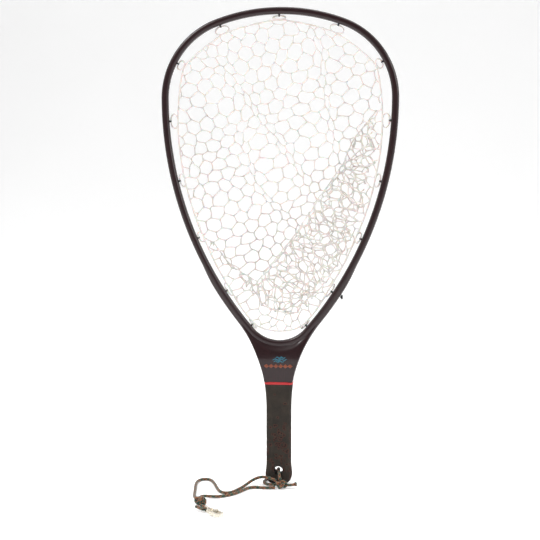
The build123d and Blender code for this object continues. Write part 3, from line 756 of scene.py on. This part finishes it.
def makeGrip(plan):
    # rings of superellipses, whose size shrinks over the butt as (1 - b^n)^(1/n) of the way down
    sink = 1 - np.cos(np.linspace(0, math.pi / 2, plan["buttRows"] + 1))
    low = plan["buttRise"] * sink[1:]
    high = np.linspace(plan["buttRise"], plan["top"], plan["rows"] - plan["buttRows"])[1:]
    height = np.concatenate([low, high])
    down = np.clip(1 - height / plan["buttRise"], 0, 1)
    widthShare = (1 - down ** 2.3) ** (1 / 2.3)
    depthShare = (1 - down ** 3.2) ** (1 / 3.2)
    u, v = sectionRing(plan["columns"], 4.2)
    x = (gripWidth(height, plan) * widthShare)[:, None] * u[None, :]
    y = (plan["half"] * depthShare)[:, None] * v[None, :]
    z = np.broadcast_to(height[:, None], x.shape)
    fromHole = np.hypot(x, z - plan["holeHeight"])
    lip = np.exp(-((fromHole - plan["hole"]) / 0.0014) ** 2) + (fromHole < plan["hole"])
    y = y * (1 - 0.09 * np.clip(lip, 0, 1) * (np.abs(y) > 0.6 * plan["half"]))
    grid = points3(x, y, z + floorHeight)
    # pits are small worn dents, each hollow painted near black as painted shade; more of them lie on the
    # lower half
    rng = np.random.default_rng(plan["pitSeed"])
    rows, columns = grid.shape[:2]
    lean = 0.05 + 0.95 * (1 - blendStep(height, 0.06, 0.11))
    lean = lean * (height > 0.006) * (height < 0.134) * np.gradient(height)
    chosen = rng.choice(rows, plan["pits"], p=lean / lean.sum())
    centers = grid[chosen, rng.integers(0, columns, plan["pits"])]
    sizes = rng.uniform(0.0006, 0.0013, plan["pits"])
    depths = sizes * rng.uniform(0.4, 0.65, plan["pits"])
    stretch = rng.uniform(0.7, 1.5, plan["pits"])
    flat = grid.reshape(-1, 3)
    pit, rim, dent = np.zeros(len(flat)), np.zeros(len(flat)), np.zeros(len(flat))
    for center, size, depth, wide in zip(centers, sizes, depths, stretch):
        gap = (flat - center) / np.array([size * wide, size, size / wide])
        far = np.sqrt((gap ** 2).sum(axis=1))
        dent = np.maximum(dent, depth * np.exp(-far ** 2))
        # the dent's hollow, which the grip's finish paints near black as painted shade
        pit = np.maximum(pit, np.exp(-far ** 4))
        rim = np.maximum(rim, 0.5 * np.exp(-((far - 1.45) / 0.4) ** 2))
    away = unit(np.stack([flat[:, 0] * 0.35, flat[:, 1], 0 * flat[:, 2]], axis=1))
    flat = flat - away * dent[:, None]
    values = {"pit": pit.reshape(rows, columns), "rim": rim.reshape(rows, columns)}
    shell = shellFromGrid(flat.reshape(rows, columns, 3), False, values)
    return buildPiece("gripFoam", shell, foamMaterial, ("grip",))


def cutHole(piece, plan):
    # the lanyard's hole goes through from front to back
    angle = np.linspace(0, 2 * math.pi, 72, endpoint=False)
    deep = np.linspace(-0.02, 0.02, 9)
    rings = points3(plan["hole"] * np.cos(angle)[None, :], deep[:, None],
                    plan["holeHeight"] + floorHeight + plan["hole"] * np.sin(angle)[None, :])
    cutter = bpy.data.objects.new("holeCutter", shellMesh("holeCutter", *shellFromGrid(rings, False)[:2]))
    scene.collection.objects.link(cutter)
    cut = piece.modifiers.new("hole", "BOOLEAN")
    cut.operation = "DIFFERENCE"
    cut.object = cutter
    bpy.context.view_layer.update()
    done = bpy.data.meshes.new_from_object(piece.evaluated_get(bpy.context.evaluated_depsgraph_get()))
    piece.modifiers.remove(cut)
    piece.data = done
    done.name = "gripFoam"
    bpy.data.objects.remove(cutter)
    done.set_sharp_from_angle(angle=math.radians(50))


gripFoam = makeGrip(gripPlan)
cutHole(gripFoam, gripPlan)

bandPlan = dict(low=0.1428, high=0.1462, half=0.0201, deep=0.0113, rounding=0.0003, rows=12, columns=180,
                squareness=5.5)


def makeBand(plan):
    # a slim belt between grip and yoke, standing a little proud of both, with rounded edges
    height = np.linspace(plan["low"], plan["high"], plan["rows"])
    share = (height - plan["low"]) / (plan["high"] - plan["low"])
    draw = plan["rounding"] * (2 * share - 1) ** 4
    u, v = sectionRing(plan["columns"], plan["squareness"])
    x = (plan["half"] - draw)[:, None] * u[None, :]
    y = (plan["deep"] - draw)[:, None] * v[None, :]
    shell = shellFromGrid(points3(x, y, height[:, None] + floorHeight), False)
    return buildPiece("trimBelt", shell, bandMaterial, ("trim_band",))


trimBelt = makeBand(bandPlan)

# printed mark on the yoke: three ripples over a row of diamonds
markPlan = dict(face=-0.01102, rippleHeight=0.1808, rippleGap=0.0027, rippleLength=0.021, wave=0.0008,
                rippleThick=0.00085, rippleRelief=0.2, ripples=((0.7, 0.003), (1.0, 0.002), (0.75, 0.001)),
                diamonds=6, diamondHeight=0.1688, diamondPitch=0.0066, diamondSize=0.0029,
                diamondStretch=1.25, diamondBevel=0.96, diamondRelief=0.00012)


def makeRipples(plan):
    shells = []
    for level, (length, shift) in enumerate(plan["ripples"]):
        share = np.linspace(-0.5, 0.5, 90)
        x = shift + share * length * plan["rippleLength"]
        z = plan["rippleHeight"] - level * plan["rippleGap"] + plan["wave"] * np.sin(share * 5 * math.pi)
        path = points3(x, plan["face"], z + floorHeight)
        thick = plan["rippleThick"] * np.sqrt(np.clip(1 - (2 * share) ** 2, 0.02, 1))
        shells.append(shellFromGrid(tubeGrid(path, thick, 10, reference=(0, 1, 0)), False))
    shell = joinShells(shells)
    shell[0][:, 1] = plan["face"] + (shell[0][:, 1] - plan["face"]) * plan["rippleRelief"]
    return buildPiece("rippleMark", shell, rippleMaterial, ("decal",))


def makeDiamonds(plan):
    shells = []
    angle = np.linspace(0, 2 * math.pi, 4, endpoint=False)
    reach = plan["diamondSize"] * np.array([plan["diamondBevel"], 1.0, plan["diamondBevel"]])
    deep = plan["face"] + plan["diamondRelief"] * np.array([-1, 0, 1])
    z = plan["diamondHeight"] + reach[:, None] * np.sin(angle)[None, :] + floorHeight
    for index in range(plan["diamonds"]):
        middle = (index - (plan["diamonds"] - 1) / 2) * plan["diamondPitch"]
        x = middle + plan["diamondStretch"] * reach[:, None] * np.cos(angle)[None, :]
        shells.append(shellFromGrid(points3(x, deep[:, None], z), False))
    return buildPiece("diamondMark", joinShells(shells), diamondMaterial)


rippleMark = makeRipples(markPlan)
diamondMark = makeDiamonds(markPlan)
print("grip, band and mark made")

# lacing: a cord round the outside of the hoop, and a tie through the hoop at each station
lacingPlan = dict(diameter=0.0011, grow=0.0044, pitch=0.0842, pairs=6, lowest=0.5652, tieCord=0.0009,
                  tieInset=0.0060, tieReach=0.0019, tieDeep=0.0021, tieShift=0.00055, tieTurn=0.0034,
                  wrapInset=0.0054, wrapReach=0.0008, wrapHalf=0.0011, knotCord=0.0013, knotRoom=0.0006,
                  blackA=srgb(26, 25, 27), blackB=srgb(42, 40, 42))
tieRuns = np.array([0.0] + [side * lacingPlan["pitch"] * n for n in range(1, lacingPlan["pairs"] + 1)
                            for side in (1, -1)] + [lacingPlan["lowest"], -lacingPlan["lowest"]])
tieRuns = np.sort(np.mod(tieRuns, ringLength))
blackColours = [lacingPlan["blackA"], lacingPlan["blackB"]] * 4
slimPlan = dict(diameter=lacingPlan["diameter"], strands=4, turn=0.004, relief=0.12, sides=8)

lacingRun = np.linspace(-lacingPlan["lowest"], lacingPlan["lowest"], 1400)
lacingPath = ringAt(lacingRun, lacingPlan["grow"])[0]
lacingShell = braidShell(lacingPath, slimPlan, swell=closedEnds(lacingPath), colours=blackColours)
lacingCord = buildPiece("lacingCord", lacingShell, lacingMaterial, ("lacing_cord",))


def tieShells(plan):
    # at each station two turns of cord leave the hoop's inner wall and go round the net's loop
    slim = dict(slimPlan, diameter=plan["tieCord"], turn=plan["tieTurn"])
    shells = []
    angle = np.linspace(0, 2 * math.pi, 44, endpoint=False)
    for run in tieRuns:
        middle, outward = (value[0] for value in ringAt(np.array([run])))
        along = np.cross(outward, np.array([0, 1.0, 0]))
        inset = plan["tieInset"] + plan["tieReach"] * np.cos(angle)
        for shift in (-plan["tieShift"], plan["tieShift"]):
            loop = middle - outward * inset[:, None] + along * shift \
                + points3(0, plan["tieDeep"] * np.sin(angle), 0)
            shells.append(braidShell(loop, slim, closed=True, colours=blackColours))
        # a small wrapped knot sits on the front of the two turns
        inset = plan["wrapInset"] + plan["wrapReach"] * np.cos(angle)
        knot = middle - outward * inset[:, None] + along * (plan["wrapHalf"] * np.sin(angle))[:, None] \
            - np.array([0, plan["tieDeep"], 0])
        shells.append(braidShell(knot, slim, closed=True, colours=blackColours))
    return joinShells(shells)


lacingTies = buildPiece("lacingTies", tieShells(lacingPlan), lacingMaterial, ("lacing_ties",))


def makeLacingKnot(plan):
    # the lacing ends in a small knot on the right-hand side of the hoop
    low, high = (np.array(corner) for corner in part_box("lacing_knot"))
    middle = (low + high) / 2
    slim = dict(slimPlan, diameter=plan["knotCord"])
    knot = middle + trefoil(160)[:, [1, 2, 0]] * ((high - low) / 2 - plan["knotRoom"])
    t = np.linspace(0, 2 * math.pi, 160, endpoint=False)
    wrap = middle + points3(0.0012 * np.cos(t), 0.0016 * np.sin(t), 0.0004 * np.sin(2 * t))
    shell = joinShells([braidShell(line, slim, closed=True, colours=blackColours) for line in (knot, wrap)])
    return buildPiece("lacingKnot", shell, lacingMaterial, ("lacing_knot",))


lacingKnot = makeLacingKnot(lacingPlan)
print("lacing made")

# net: a rim strand tied inside the hoop, and a bag of hexagonal cells in three hanging layers
netPlan = dict(cell=0.0178, flapCell=0.0142, turn=math.radians(14), flapTurn=math.radians(37), seed=5,
               jitter=0.0011, strand=0.00100, flare=0.5, rimRadius=0.0012, rimDepth=0.0012, bow=0.0022,
               lowBow=0.0165, seam=0.90, footDepth=0.128, edgeDepth=0.028, foldDepth=0.040,
               topHeight=0.610, lowHeight=0.255)
rimInsets = np.array([11.5, 17.0, 15.0, 16.5, 13.5, 13.0, 11.5, 9.5,
                      9.5, 11.5, 13.0, 13.5, 16.5, 15.0, 17.0]) / 1000


def netRimLine(plan, count=1600, reach=12):
    # between two ties the rim strand runs nearly straight and bows a little towards the hoop
    run = np.linspace(0, ringLength, count, endpoint=False)
    base, outward = ringAt(tieRuns)
    ties = base - outward * rimInsets[:, None]
    index = (np.searchsorted(tieRuns, run, side="right") - 1) % len(tieRuns)
    nextIndex = (index + 1) % len(tieRuns)
    span = np.mod(tieRuns[nextIndex] - tieRuns[index], ringLength)
    share = np.mod(run - tieRuns[index], ringLength) / span
    chord = ties[index] * (1 - share)[:, None] + ties[nextIndex] * share[:, None]
    away = outward[index] * (1 - share)[:, None] + outward[nextIndex] * share[:, None]
    low = np.where(index == len(tieRuns) // 2, plan["lowBow"], plan["bow"])
    line = chord + away * (low * np.sin(math.pi * share))[:, None]
    # a running mean softens the corners at the ties
    padded = np.concatenate([line[-reach:], line, line[:reach]])
    kernel = np.ones(2 * reach + 1) / (2 * reach + 1)
    line = np.stack([np.convolve(padded[:, k], kernel, mode="valid") for k in range(3)], axis=1)
    line[:, 1] = plan["rimDepth"] + 0.0008 * np.sin(run * 90)
    return line


rimLine = netRimLine(netPlan)
rimMiddle = np.array([0, 0.400 + floorHeight])
rimAngles = np.mod(np.arctan2(rimLine[:, 0], rimLine[:, 2] - rimMiddle[1]), 2 * math.pi)
rimOrder = np.argsort(rimAngles)


def rimAround(angle, values):
    # a value of the rim strand, read by its direction from the middle of the opening
    return np.interp(angle, rimAngles[rimOrder], values[rimOrder], period=2 * math.pi)


def rimShare(x, z):
    # 1 on the rim strand and 0 in the middle, and the distance left to the rim strand
    angle = np.mod(np.arctan2(x, z - rimMiddle[1]), 2 * math.pi)
    reach = rimAround(angle, np.hypot(rimLine[:, 0], rimLine[:, 2] - rimMiddle[1]))
    share = np.hypot(x, z - rimMiddle[1]) / reach
    return share, (1 - share) * reach


# the flap: the bag's lower wall rises from the rim to this fold, x and height, and hangs down behind it
foldLine = np.array([(-0.150, 0.420), (-0.108, 0.353), (-0.090, 0.326), (-0.073, 0.303), (-0.035, 0.281),
                     (-0.004, 0.319), (0.022, 0.353), (0.046, 0.390), (0.086, 0.448), (0.099, 0.480),
                     (0.135, 0.526), (0.170, 0.600)])
# creases of the hanging wall: points in x and height, the reach of the pull, its strength, the rise
creases = (dict(line=((-0.076, 0.579), (-0.046, 0.543), (-0.031, 0.515), (0.003, 0.472), (0.026, 0.435),
                      (0.038, 0.414)), reach=0.026, pull=0.7, rise=0.014),
           dict(line=((-0.062, 0.500), (-0.055, 0.480), (-0.046, 0.453), (-0.037, 0.421), (-0.024, 0.399),
                      (0.000, 0.379), (0.020, 0.355)), reach=0.022, pull=0.68, rise=0.012),
           dict(line=((0.045, 0.625), (0.057, 0.604), (0.065, 0.533), (0.071, 0.494), (0.082, 0.446)),
                reach=0.024, pull=0.7, rise=0.014),
           dict(line=((-0.125, 0.455), (-0.112, 0.398), (-0.085, 0.328), (-0.046, 0.262)),
                reach=0.015, pull=0.5, rise=-0.008))


def foldHeight(x):
    return np.interp(x, foldLine[:, 0], foldLine[:, 1]) + floorHeight


def nearestOnLine(x, z, line):
    # offset from the nearest point of a line of straight stretches, and how far along the line it is
    line = np.array(line) + np.array([0, floorHeight])
    best = np.full(x.shape, 9.0)
    offsetX, offsetZ, place = np.zeros_like(x), np.zeros_like(x), np.zeros_like(x)
    for number in range(len(line) - 1):
        start, step = line[number], line[number + 1] - line[number]
        t = np.clip(((x - start[0]) * step[0] + (z - start[1]) * step[1]) / (step @ step), 0, 1)
        dx, dz = x - start[0] - t * step[0], z - start[1] - t * step[1]
        far = np.hypot(dx, dz)
        closer = far < best
        best = np.where(closer, far, best)
        offsetX, offsetZ = np.where(closer, dx, offsetX), np.where(closer, dz, offsetZ)
        place = np.where(closer, (number + t) / (len(line) - 1), place)
    return best, offsetX, offsetZ, place


def wander(x, z, size, wave, phase):
    # slow sideways drift that keeps the cells from being all alike
    a = np.sin(x / wave + 1.3 * phase) * np.cos(z / wave * 0.83 + phase)
    b = np.cos(x / wave * 0.71 - phase) * np.sin(z / wave * 1.17 + 2.1 * phase)
    return x + size * a, z + size * b


def wallDepth(x, z, plan):
    # the hanging wall goes back steadily from the top of the opening down to the bag's foot
    down = np.clip((plan["topHeight"] + floorHeight - z) / (plan["topHeight"] - plan["lowHeight"]), 0, 1)
    inward = 1 - np.exp(-np.maximum(rimShare(x, z)[1], 0) / plan["edgeDepth"])
    return plan["rimDepth"] + (0.006 + plan["footDepth"] * down ** 1.15) * inward


def pullCreases(x, z):
    # strands near a crease are drawn in to it, and it comes forward by its rise
    rise = np.zeros_like(x)
    for crease in creases:
        far, dx, dz, place = nearestOnLine(x, z, crease["line"])
        fade = np.sin(math.pi * np.clip(place * 0.86 + 0.07, 0, 1)) ** 0.5
        hold = crease["pull"] * np.exp(-(far / crease["reach"]) ** 2) * fade
        x, z = x - dx * hold, z - dz * hold
        rise = rise - crease["rise"] * hold / crease["pull"]
    return x, z, rise


def honeycomb(cell, turn, seed, shift, jitter):
    # two points in each cell of a triangular lattice, each joined to its three neighbours
    count = 24
    i, j = np.meshgrid(np.arange(-count, count + 1), np.arange(-count, count + 1), indexing="ij")
    one = np.stack([((i + j / 2) * cell).ravel(), (j * cell * math.sqrt(3) / 2).ravel()], axis=1)
    size = 2 * count + 1
    number = np.arange(size * size).reshape(size, size)
    other = number + size * size
    edges = np.concatenate([np.stack([number.ravel(), other.ravel()], axis=1),
                            np.stack([number[:, 1:].ravel(), other[:, :-1].ravel()], axis=1),
                            np.stack([number[:-1, 1:].ravel(), other[1:, :-1].ravel()], axis=1)])
    places = np.concatenate([one, one + np.array([0, cell / math.sqrt(3)])])
    c, s = math.cos(turn), math.sin(turn)
    places = places @ np.array([[c, s], [-s, c]]) + np.array(shift)
    rng = np.random.default_rng(seed)
    return places + rng.normal(0, jitter, places.shape), edges


def cutShare(low, high, test):
    # by halving, the share of each strand at which it leaves the region
    near, far = np.zeros(len(low)), np.ones(len(low))
    for _ in range(18):
        middle = (near + far) / 2
        place = low + (high - low) * middle[:, None]
        inside = test(place[:, 0], place[:, 1])
        near, far = np.where(inside, middle, near), np.where(inside, far, middle)
    return low + (high - low) * near[:, None]


def clipLattice(flat, edges, test):
    # strands wholly inside are kept; those that cross the border are cut at it
    inside = test(flat[:, 0], flat[:, 1])
    inner = edges[inside[edges[:, 0]] & inside[edges[:, 1]]]
    cross = edges[inside[edges[:, 0]] != inside[edges[:, 1]]]
    start = np.where(inside[cross[:, 0]], cross[:, 0], cross[:, 1])
    end = np.where(inside[cross[:, 0]], cross[:, 1], cross[:, 0])
    cuts = cutShare(flat[start], flat[end], test)
    number = np.full(len(flat), -1)
    number[inside] = np.arange(inside.sum())
    points = np.concatenate([flat[inside], cuts])
    cutEdges = np.stack([number[start], inside.sum() + np.arange(len(cuts))], axis=1)
    return points, np.concatenate([number[inner], cutEdges]), inside.sum()


def wallLayer(plan):
    # the hanging wall fills the opening, but stops at a seam a little inside the rim below the fold
    def inWall(x, z):
        return rimShare(x, z)[0] < np.where(z < foldHeight(x), plan["seam"], 1.0)
    flat, edges = honeycomb(plan["cell"], plan["turn"], plan["seed"], (0.004, rimMiddle[1]), plan["jitter"])
    x, z = wander(flat[:, 0], flat[:, 1], 0.0028, 0.026, 0.7)
    drawn = np.stack(pullCreases(x, z)[:2], axis=1)
    points, joined, inner = clipLattice(drawn, edges, inWall)
    x, z = points[:, 0], points[:, 1]
    y = wallDepth(x, z, plan) + pullCreases(x, z)[2]
    return points3(x, np.maximum(y, plan["rimDepth"]), z), joined, inner


flapPlan = dict(drift=0.0038, driftWave=0.013, pull=0.6, pullReach=0.022, lean=0.78, sway=0.034,
                backDrift=0.0052, backWave=0.011, shiftX=0.004, shiftZ=0.005, backShare=0.94,
                backWaveDepth=0.010, frontWaveDepth=0.007, leastDepth=0.0015)


def flapLayer(plan, flap, behind):
    # both flap layers use one lattice, so each strand that reaches the fold goes on down behind it
    limit = plan["seam"] if behind else 1.0

    def inFlap(x, z):
        return (rimShare(x, z)[0] < limit) & (z < foldHeight(x))
    flat, edges = honeycomb(plan["flapCell"], plan["flapTurn"], plan["seed"] + 1, (0.001, rimMiddle[1]),
                            plan["jitter"])
    x, z = wander(flat[:, 0], flat[:, 1], flap["drift"], flap["driftWave"], 2.2)
    far, dx, dz = nearestOnLine(x, z, foldLine)[:3]
    hold = flap["pull"] * np.exp(-(far / flap["pullReach"]) ** 2)
    points, joined, inner = clipLattice(np.stack([x - dx * hold, z - dz * hold], axis=1), edges, inFlap)
    x, z = points[:, 0], points[:, 1]
    share, gap = rimShare(x, z)
    fromFold = np.maximum(foldHeight(x) - z, 0) * flap["lean"]
    fromRim = np.maximum(gap, 0)
    if behind:
        away = blendStep(fromFold, 0.0, flap["sway"])
        seamGap = np.maximum(fromRim - (1 - limit) * fromRim / np.maximum(1 - share, 1e-6), 0)
        part = fromFold / np.maximum(fromFold + seamGap, 1e-6)
        wave = flap["backWaveDepth"] * np.sin(math.pi * part) * np.sin(x * 70)
        wall = wallDepth(x, z, plan) * flap["backShare"]
        y = plan["foldDepth"] + (wall - plan["foldDepth"]) * part + wave
        x, z = wander(x, z, flap["backDrift"] * away, flap["backWave"], 5.1)
        return points3(x + flap["shiftX"] * away, y, z - flap["shiftZ"] * away), joined, inner
    part = fromRim / np.maximum(fromRim + fromFold, 1e-6)
    rise = (plan["foldDepth"] - plan["rimDepth"]) * np.sin(math.pi / 2 * part) ** 0.8
    wave = flap["frontWaveDepth"] * np.sin(math.pi * part) * np.sin(x * 80 + z * 30)
    y = plan["rimDepth"] + rise + wave
    return points3(x, np.maximum(y, flap["leastDepth"]), z), joined, inner


def joinLayers(plan):
    # cut ends are brought together: on the rim strand, along the fold, and along the seam
    wall, wallEdges, wallInner = wallLayer(plan)
    front, frontEdges, frontInner = flapLayer(plan, flapPlan, False)
    back, backEdges, backInner = flapLayer(plan, flapPlan, True)
    wallCuts, frontCuts = np.arange(wallInner, len(wall)), np.arange(frontInner, len(front))
    backCuts = np.arange(backInner, len(back))
    seamWall = wallCuts[rimShare(wall[wallCuts, 0], wall[wallCuts, 2])[0] < plan["seam"] + 0.01]
    foldFront = frontCuts[rimShare(front[frontCuts, 0], front[frontCuts, 2])[0] < 0.985]
    # the back layer's upper ends take the places of the front layer's, strand by strand
    gap = np.linalg.norm(back[backCuts][:, None, :] - front[foldFront][None, :, :], axis=2)
    sure = gap.min(axis=1) < 0.004
    back[backCuts[sure]] = front[foldFront[gap.argmin(axis=1)[sure]]]
    # its lower ends go to the nearest cut ends of the wall, where depth counts a fifth
    loose = backCuts[~sure]
    step = (back[loose][:, None, :] - wall[seamWall][None, :, :]) * np.array([1, 0.2, 1])
    back[loose] = wall[seamWall[np.linalg.norm(step, axis=2).argmin(axis=1)]]
    # a line of strands follows the fold from one turned strand to the next
    ordered = foldFront[np.argsort(front[foldFront, 0])]
    near = np.linalg.norm(front[ordered[1:]] - front[ordered[:-1]], axis=1) < 0.03
    foldEdges = np.stack([ordered[:-1][near], ordered[1:][near]], axis=1)
    points = np.concatenate([wall, front, back])
    edges = np.concatenate([wallEdges, frontEdges + len(wall), foldEdges + len(wall),
                            backEdges + len(wall) + len(front)])
    return points, edges


def strandShells(points, edges, plan):
    # every strand is a six-sided tube with a slight bend that grows wider towards both ends, where
    # three strands flow together, and closes in a point inside the joint
    first, second = points[edges[:, 0]], points[edges[:, 1]]
    along = unit(second - first)
    pick = np.where(np.abs(along[:, 2:3]) < 0.8, np.array([[0, 0, 1.0]]), np.array([[1.0, 0, 0]]))
    side = unit(np.cross(along, pick))
    rise = np.cross(side, along)
    share = np.array([-0.05, 0.0, 0.14, 0.5, 0.86, 1.0, 1.05])
    width = plan["strand"] * np.array([0.02, 1 + plan["flare"], 1.12, 0.9, 1.12, 1 + plan["flare"], 0.02])
    angle = np.linspace(0, 2 * math.pi, 6, endpoint=False)
    rng = np.random.default_rng(plan["seed"] + 2)
    bend = rng.normal(0, 0.0006, (len(edges), 2))
    arch = np.clip(4 * share * (1 - share), 0, 1)
    center = first[:, None, :] + (second - first)[:, None, :] * share[None, :, None] \
        + arch[None, :, None] * (bend[:, :1] * side + bend[:, 1:] * rise)[:, None, :]
    ring = np.cos(angle)[None, :, None] * side[:, None, :] + np.sin(angle)[None, :, None] * rise[:, None, :]
    grid = center[:, :, None, :] + ring[:, None, :, :] * width[None, :, None, None]
    count, rows, columns = grid.shape[:3]
    faces = gridFaces(rows, columns, False)
    faces = (faces[None] + (np.arange(count) * rows * columns)[:, None, None]).reshape(-1, 4)
    caps = np.stack([np.array([0, 1, 2, 3]), np.array([0, 3, 4, 5])])
    start = np.arange(count)[:, None, None] * rows * columns
    ends = np.concatenate([(start + caps[None, :, ::-1]).reshape(-1, 4),
                           (start + (rows - 1) * columns + caps[None]).reshape(-1, 4)])
    return grid.reshape(-1, 3), np.concatenate([faces, ends]), {}


ovalPlan = dict(outerGap=0.0008, innerGap=0.0002, half=0.0088, halfChange=0.0016, thick=0.0011,
                thickChange=0.18, deep=0.0008, deepChange=0.0012)


def ovalCells(plan):
    # at each tie an oval cell stands between the rim strand and the hoop
    shells = []
    t = np.linspace(0, 2 * math.pi, 64, endpoint=False)
    for number, run in enumerate(tieRuns):
        outer, inner = lacingPlan["tieInset"] + plan["outerGap"], rimInsets[number] + plan["innerGap"]
        wide = plan["half"] + plan["halfChange"] * math.sin(number * 2.3)
        here = run + wide * np.sign(np.cos(t)) * np.abs(np.cos(t)) ** 0.85
        base, outward = ringAt(here)
        path = base - outward * ((outer + inner) / 2 - (inner - outer) / 2 * np.sin(t))[:, None]
        path[:, 1] = plan["deep"] + plan["deepChange"] * np.sin(t + number)
        thick = plan["thick"] * (1 + plan["thickChange"] * np.cos(2 * t + number))
        shells.append(shellFromGrid(tubeGrid(path, thick, 8, closed=True, reference=(0, 1, 0)), True))
    return shells


netPoints, netEdges = joinLayers(netPlan)
netMesh = buildPiece("netMesh", strandShells(netPoints, netEdges, netPlan), rubberMaterial,
                     ("net_bag",))
rimTurn = np.linspace(0, 2 * math.pi * 60, len(rimLine), endpoint=False)
rimThick = netPlan["rimRadius"] * (1 + 0.15 * np.sin(rimTurn))
rimShell = shellFromGrid(tubeGrid(rimLine, rimThick, 10, closed=True, reference=(0, 1, 0)), True)
netRim = buildPiece("netRimStrand", joinShells([rimShell] + ovalCells(ovalPlan)), rubberMaterial,
                    ("net_rim",))
print("net made:", len(netPoints), "joints,", len(netEdges), "strands")

# carried-over pieces
for nodeName, finish in (("swivel_eye", nickelMaterial), ("snap_body", nickelMaterial),
                         ("snap_gate", nickelMaterial), ("gate_pin", nickelMaterial),
                         ("gate_spring", springMaterial), ("handle_core", coreMaterial),
                         ("foam_float", floatMaterial)):
    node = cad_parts[nodeName]
    node.data.materials.clear()
    node.data.materials.append(finish)

# floor, backdrop and light
stagePlan = dict(front=-4, curveStart=2, curveRadius=1.5, top=6.0, halfWidth=6.0, glow=0.18)


def makeStage(plan):
    # a floor that curves up into a backdrop behind the object
    t = np.linspace(0, 1, 60)
    bend = np.clip((t - 0.5) * math.pi, 0, math.pi / 2)
    floorY = plan["front"] + 2 * (plan["curveStart"] - plan["front"]) * t
    y = np.where(t < 0.5, floorY, plan["curveStart"] + plan["curveRadius"] * np.sin(bend))
    z = plan["curveRadius"] * (1 - np.cos(bend))
    y = np.append(y, y[-1])
    z = np.append(z, plan["top"])
    x = plan["halfWidth"] * np.array([-1.0, 1.0])
    grid = points3(x[None, :], y[:, None], z[:, None] + floorHeight)
    r = np.arange(len(y) - 1)
    faces = np.stack([2 * r, 2 * r + 1, 2 * r + 3, 2 * r + 2], axis=1)
    mesh = bpy.data.meshes.new("stageFloor")
    mesh.from_pydata(grid.reshape(-1, 3).tolist(), [], faces.tolist())
    mesh.shade_smooth()
    material, tree, shader = newMaterial("stagePale", Roughness=0.9, Specular_IOR_Level=0.1)
    tone = mottled(tree, (0.93, 0.93, 0.93, 1), (0.91, 0.91, 0.91, 1), 1.5, 40)
    tree.links.new(tone.outputs["Colour"], shader.inputs["Base Color"])
    shader.inputs["Emission Color"].default_value = (1, 1, 1, 1)
    shader.inputs["Emission Strength"].default_value = plan["glow"]
    mesh.materials.append(material)
    floor = bpy.data.objects.new("stageFloor", mesh)
    scene.collection.objects.link(floor)


def areaLight(name, place, aim, size, power):
    data = bpy.data.lights.new(name, "AREA")
    data.size = size
    data.energy = power
    lamp = bpy.data.objects.new(name, data)
    lamp.location = place
    back = np.array(place, float) - np.array(aim, float)
    flat = math.hypot(back[0], back[1])
    lamp.rotation_euler = (math.atan2(flat, back[2]), 0, math.atan2(back[0], -back[1]))
    scene.collection.objects.link(lamp)


makeStage(stagePlan)
areaLight("keyLight", (-1.5, -1.3, 2.0), (0, 0, 0.2), 0.9, 40)
areaLight("fillLight", (1.9, -1.0, 1.2), (0, 0, 0.2), 1.0, 20)
areaLight("topLight", (0.2, 0.3, 2.8), (0, 0, 0.2), 2.0, 30)
world = bpy.data.worlds.new("studio")
world.use_nodes = True
world.node_tree.nodes["Background"].inputs["Color"].default_value = (1, 1, 1, 1)
# the room is bright behind, above and beside the object and dim in front of it
skyTree = world.node_tree
direction = addNode(skyTree, "ShaderNodeTexCoord")
parts = addNode(skyTree, "ShaderNodeSeparateXYZ")
skyTree.links.new(direction.outputs["Generated"], parts.inputs[0])
skyTree.links.new(rangeOf(skyTree, parts.outputs["Y"], 0.10, 1.25, -0.8, 0.15),
                  skyTree.nodes["Background"].inputs["Strength"])
scene.world = world
print("stage set")
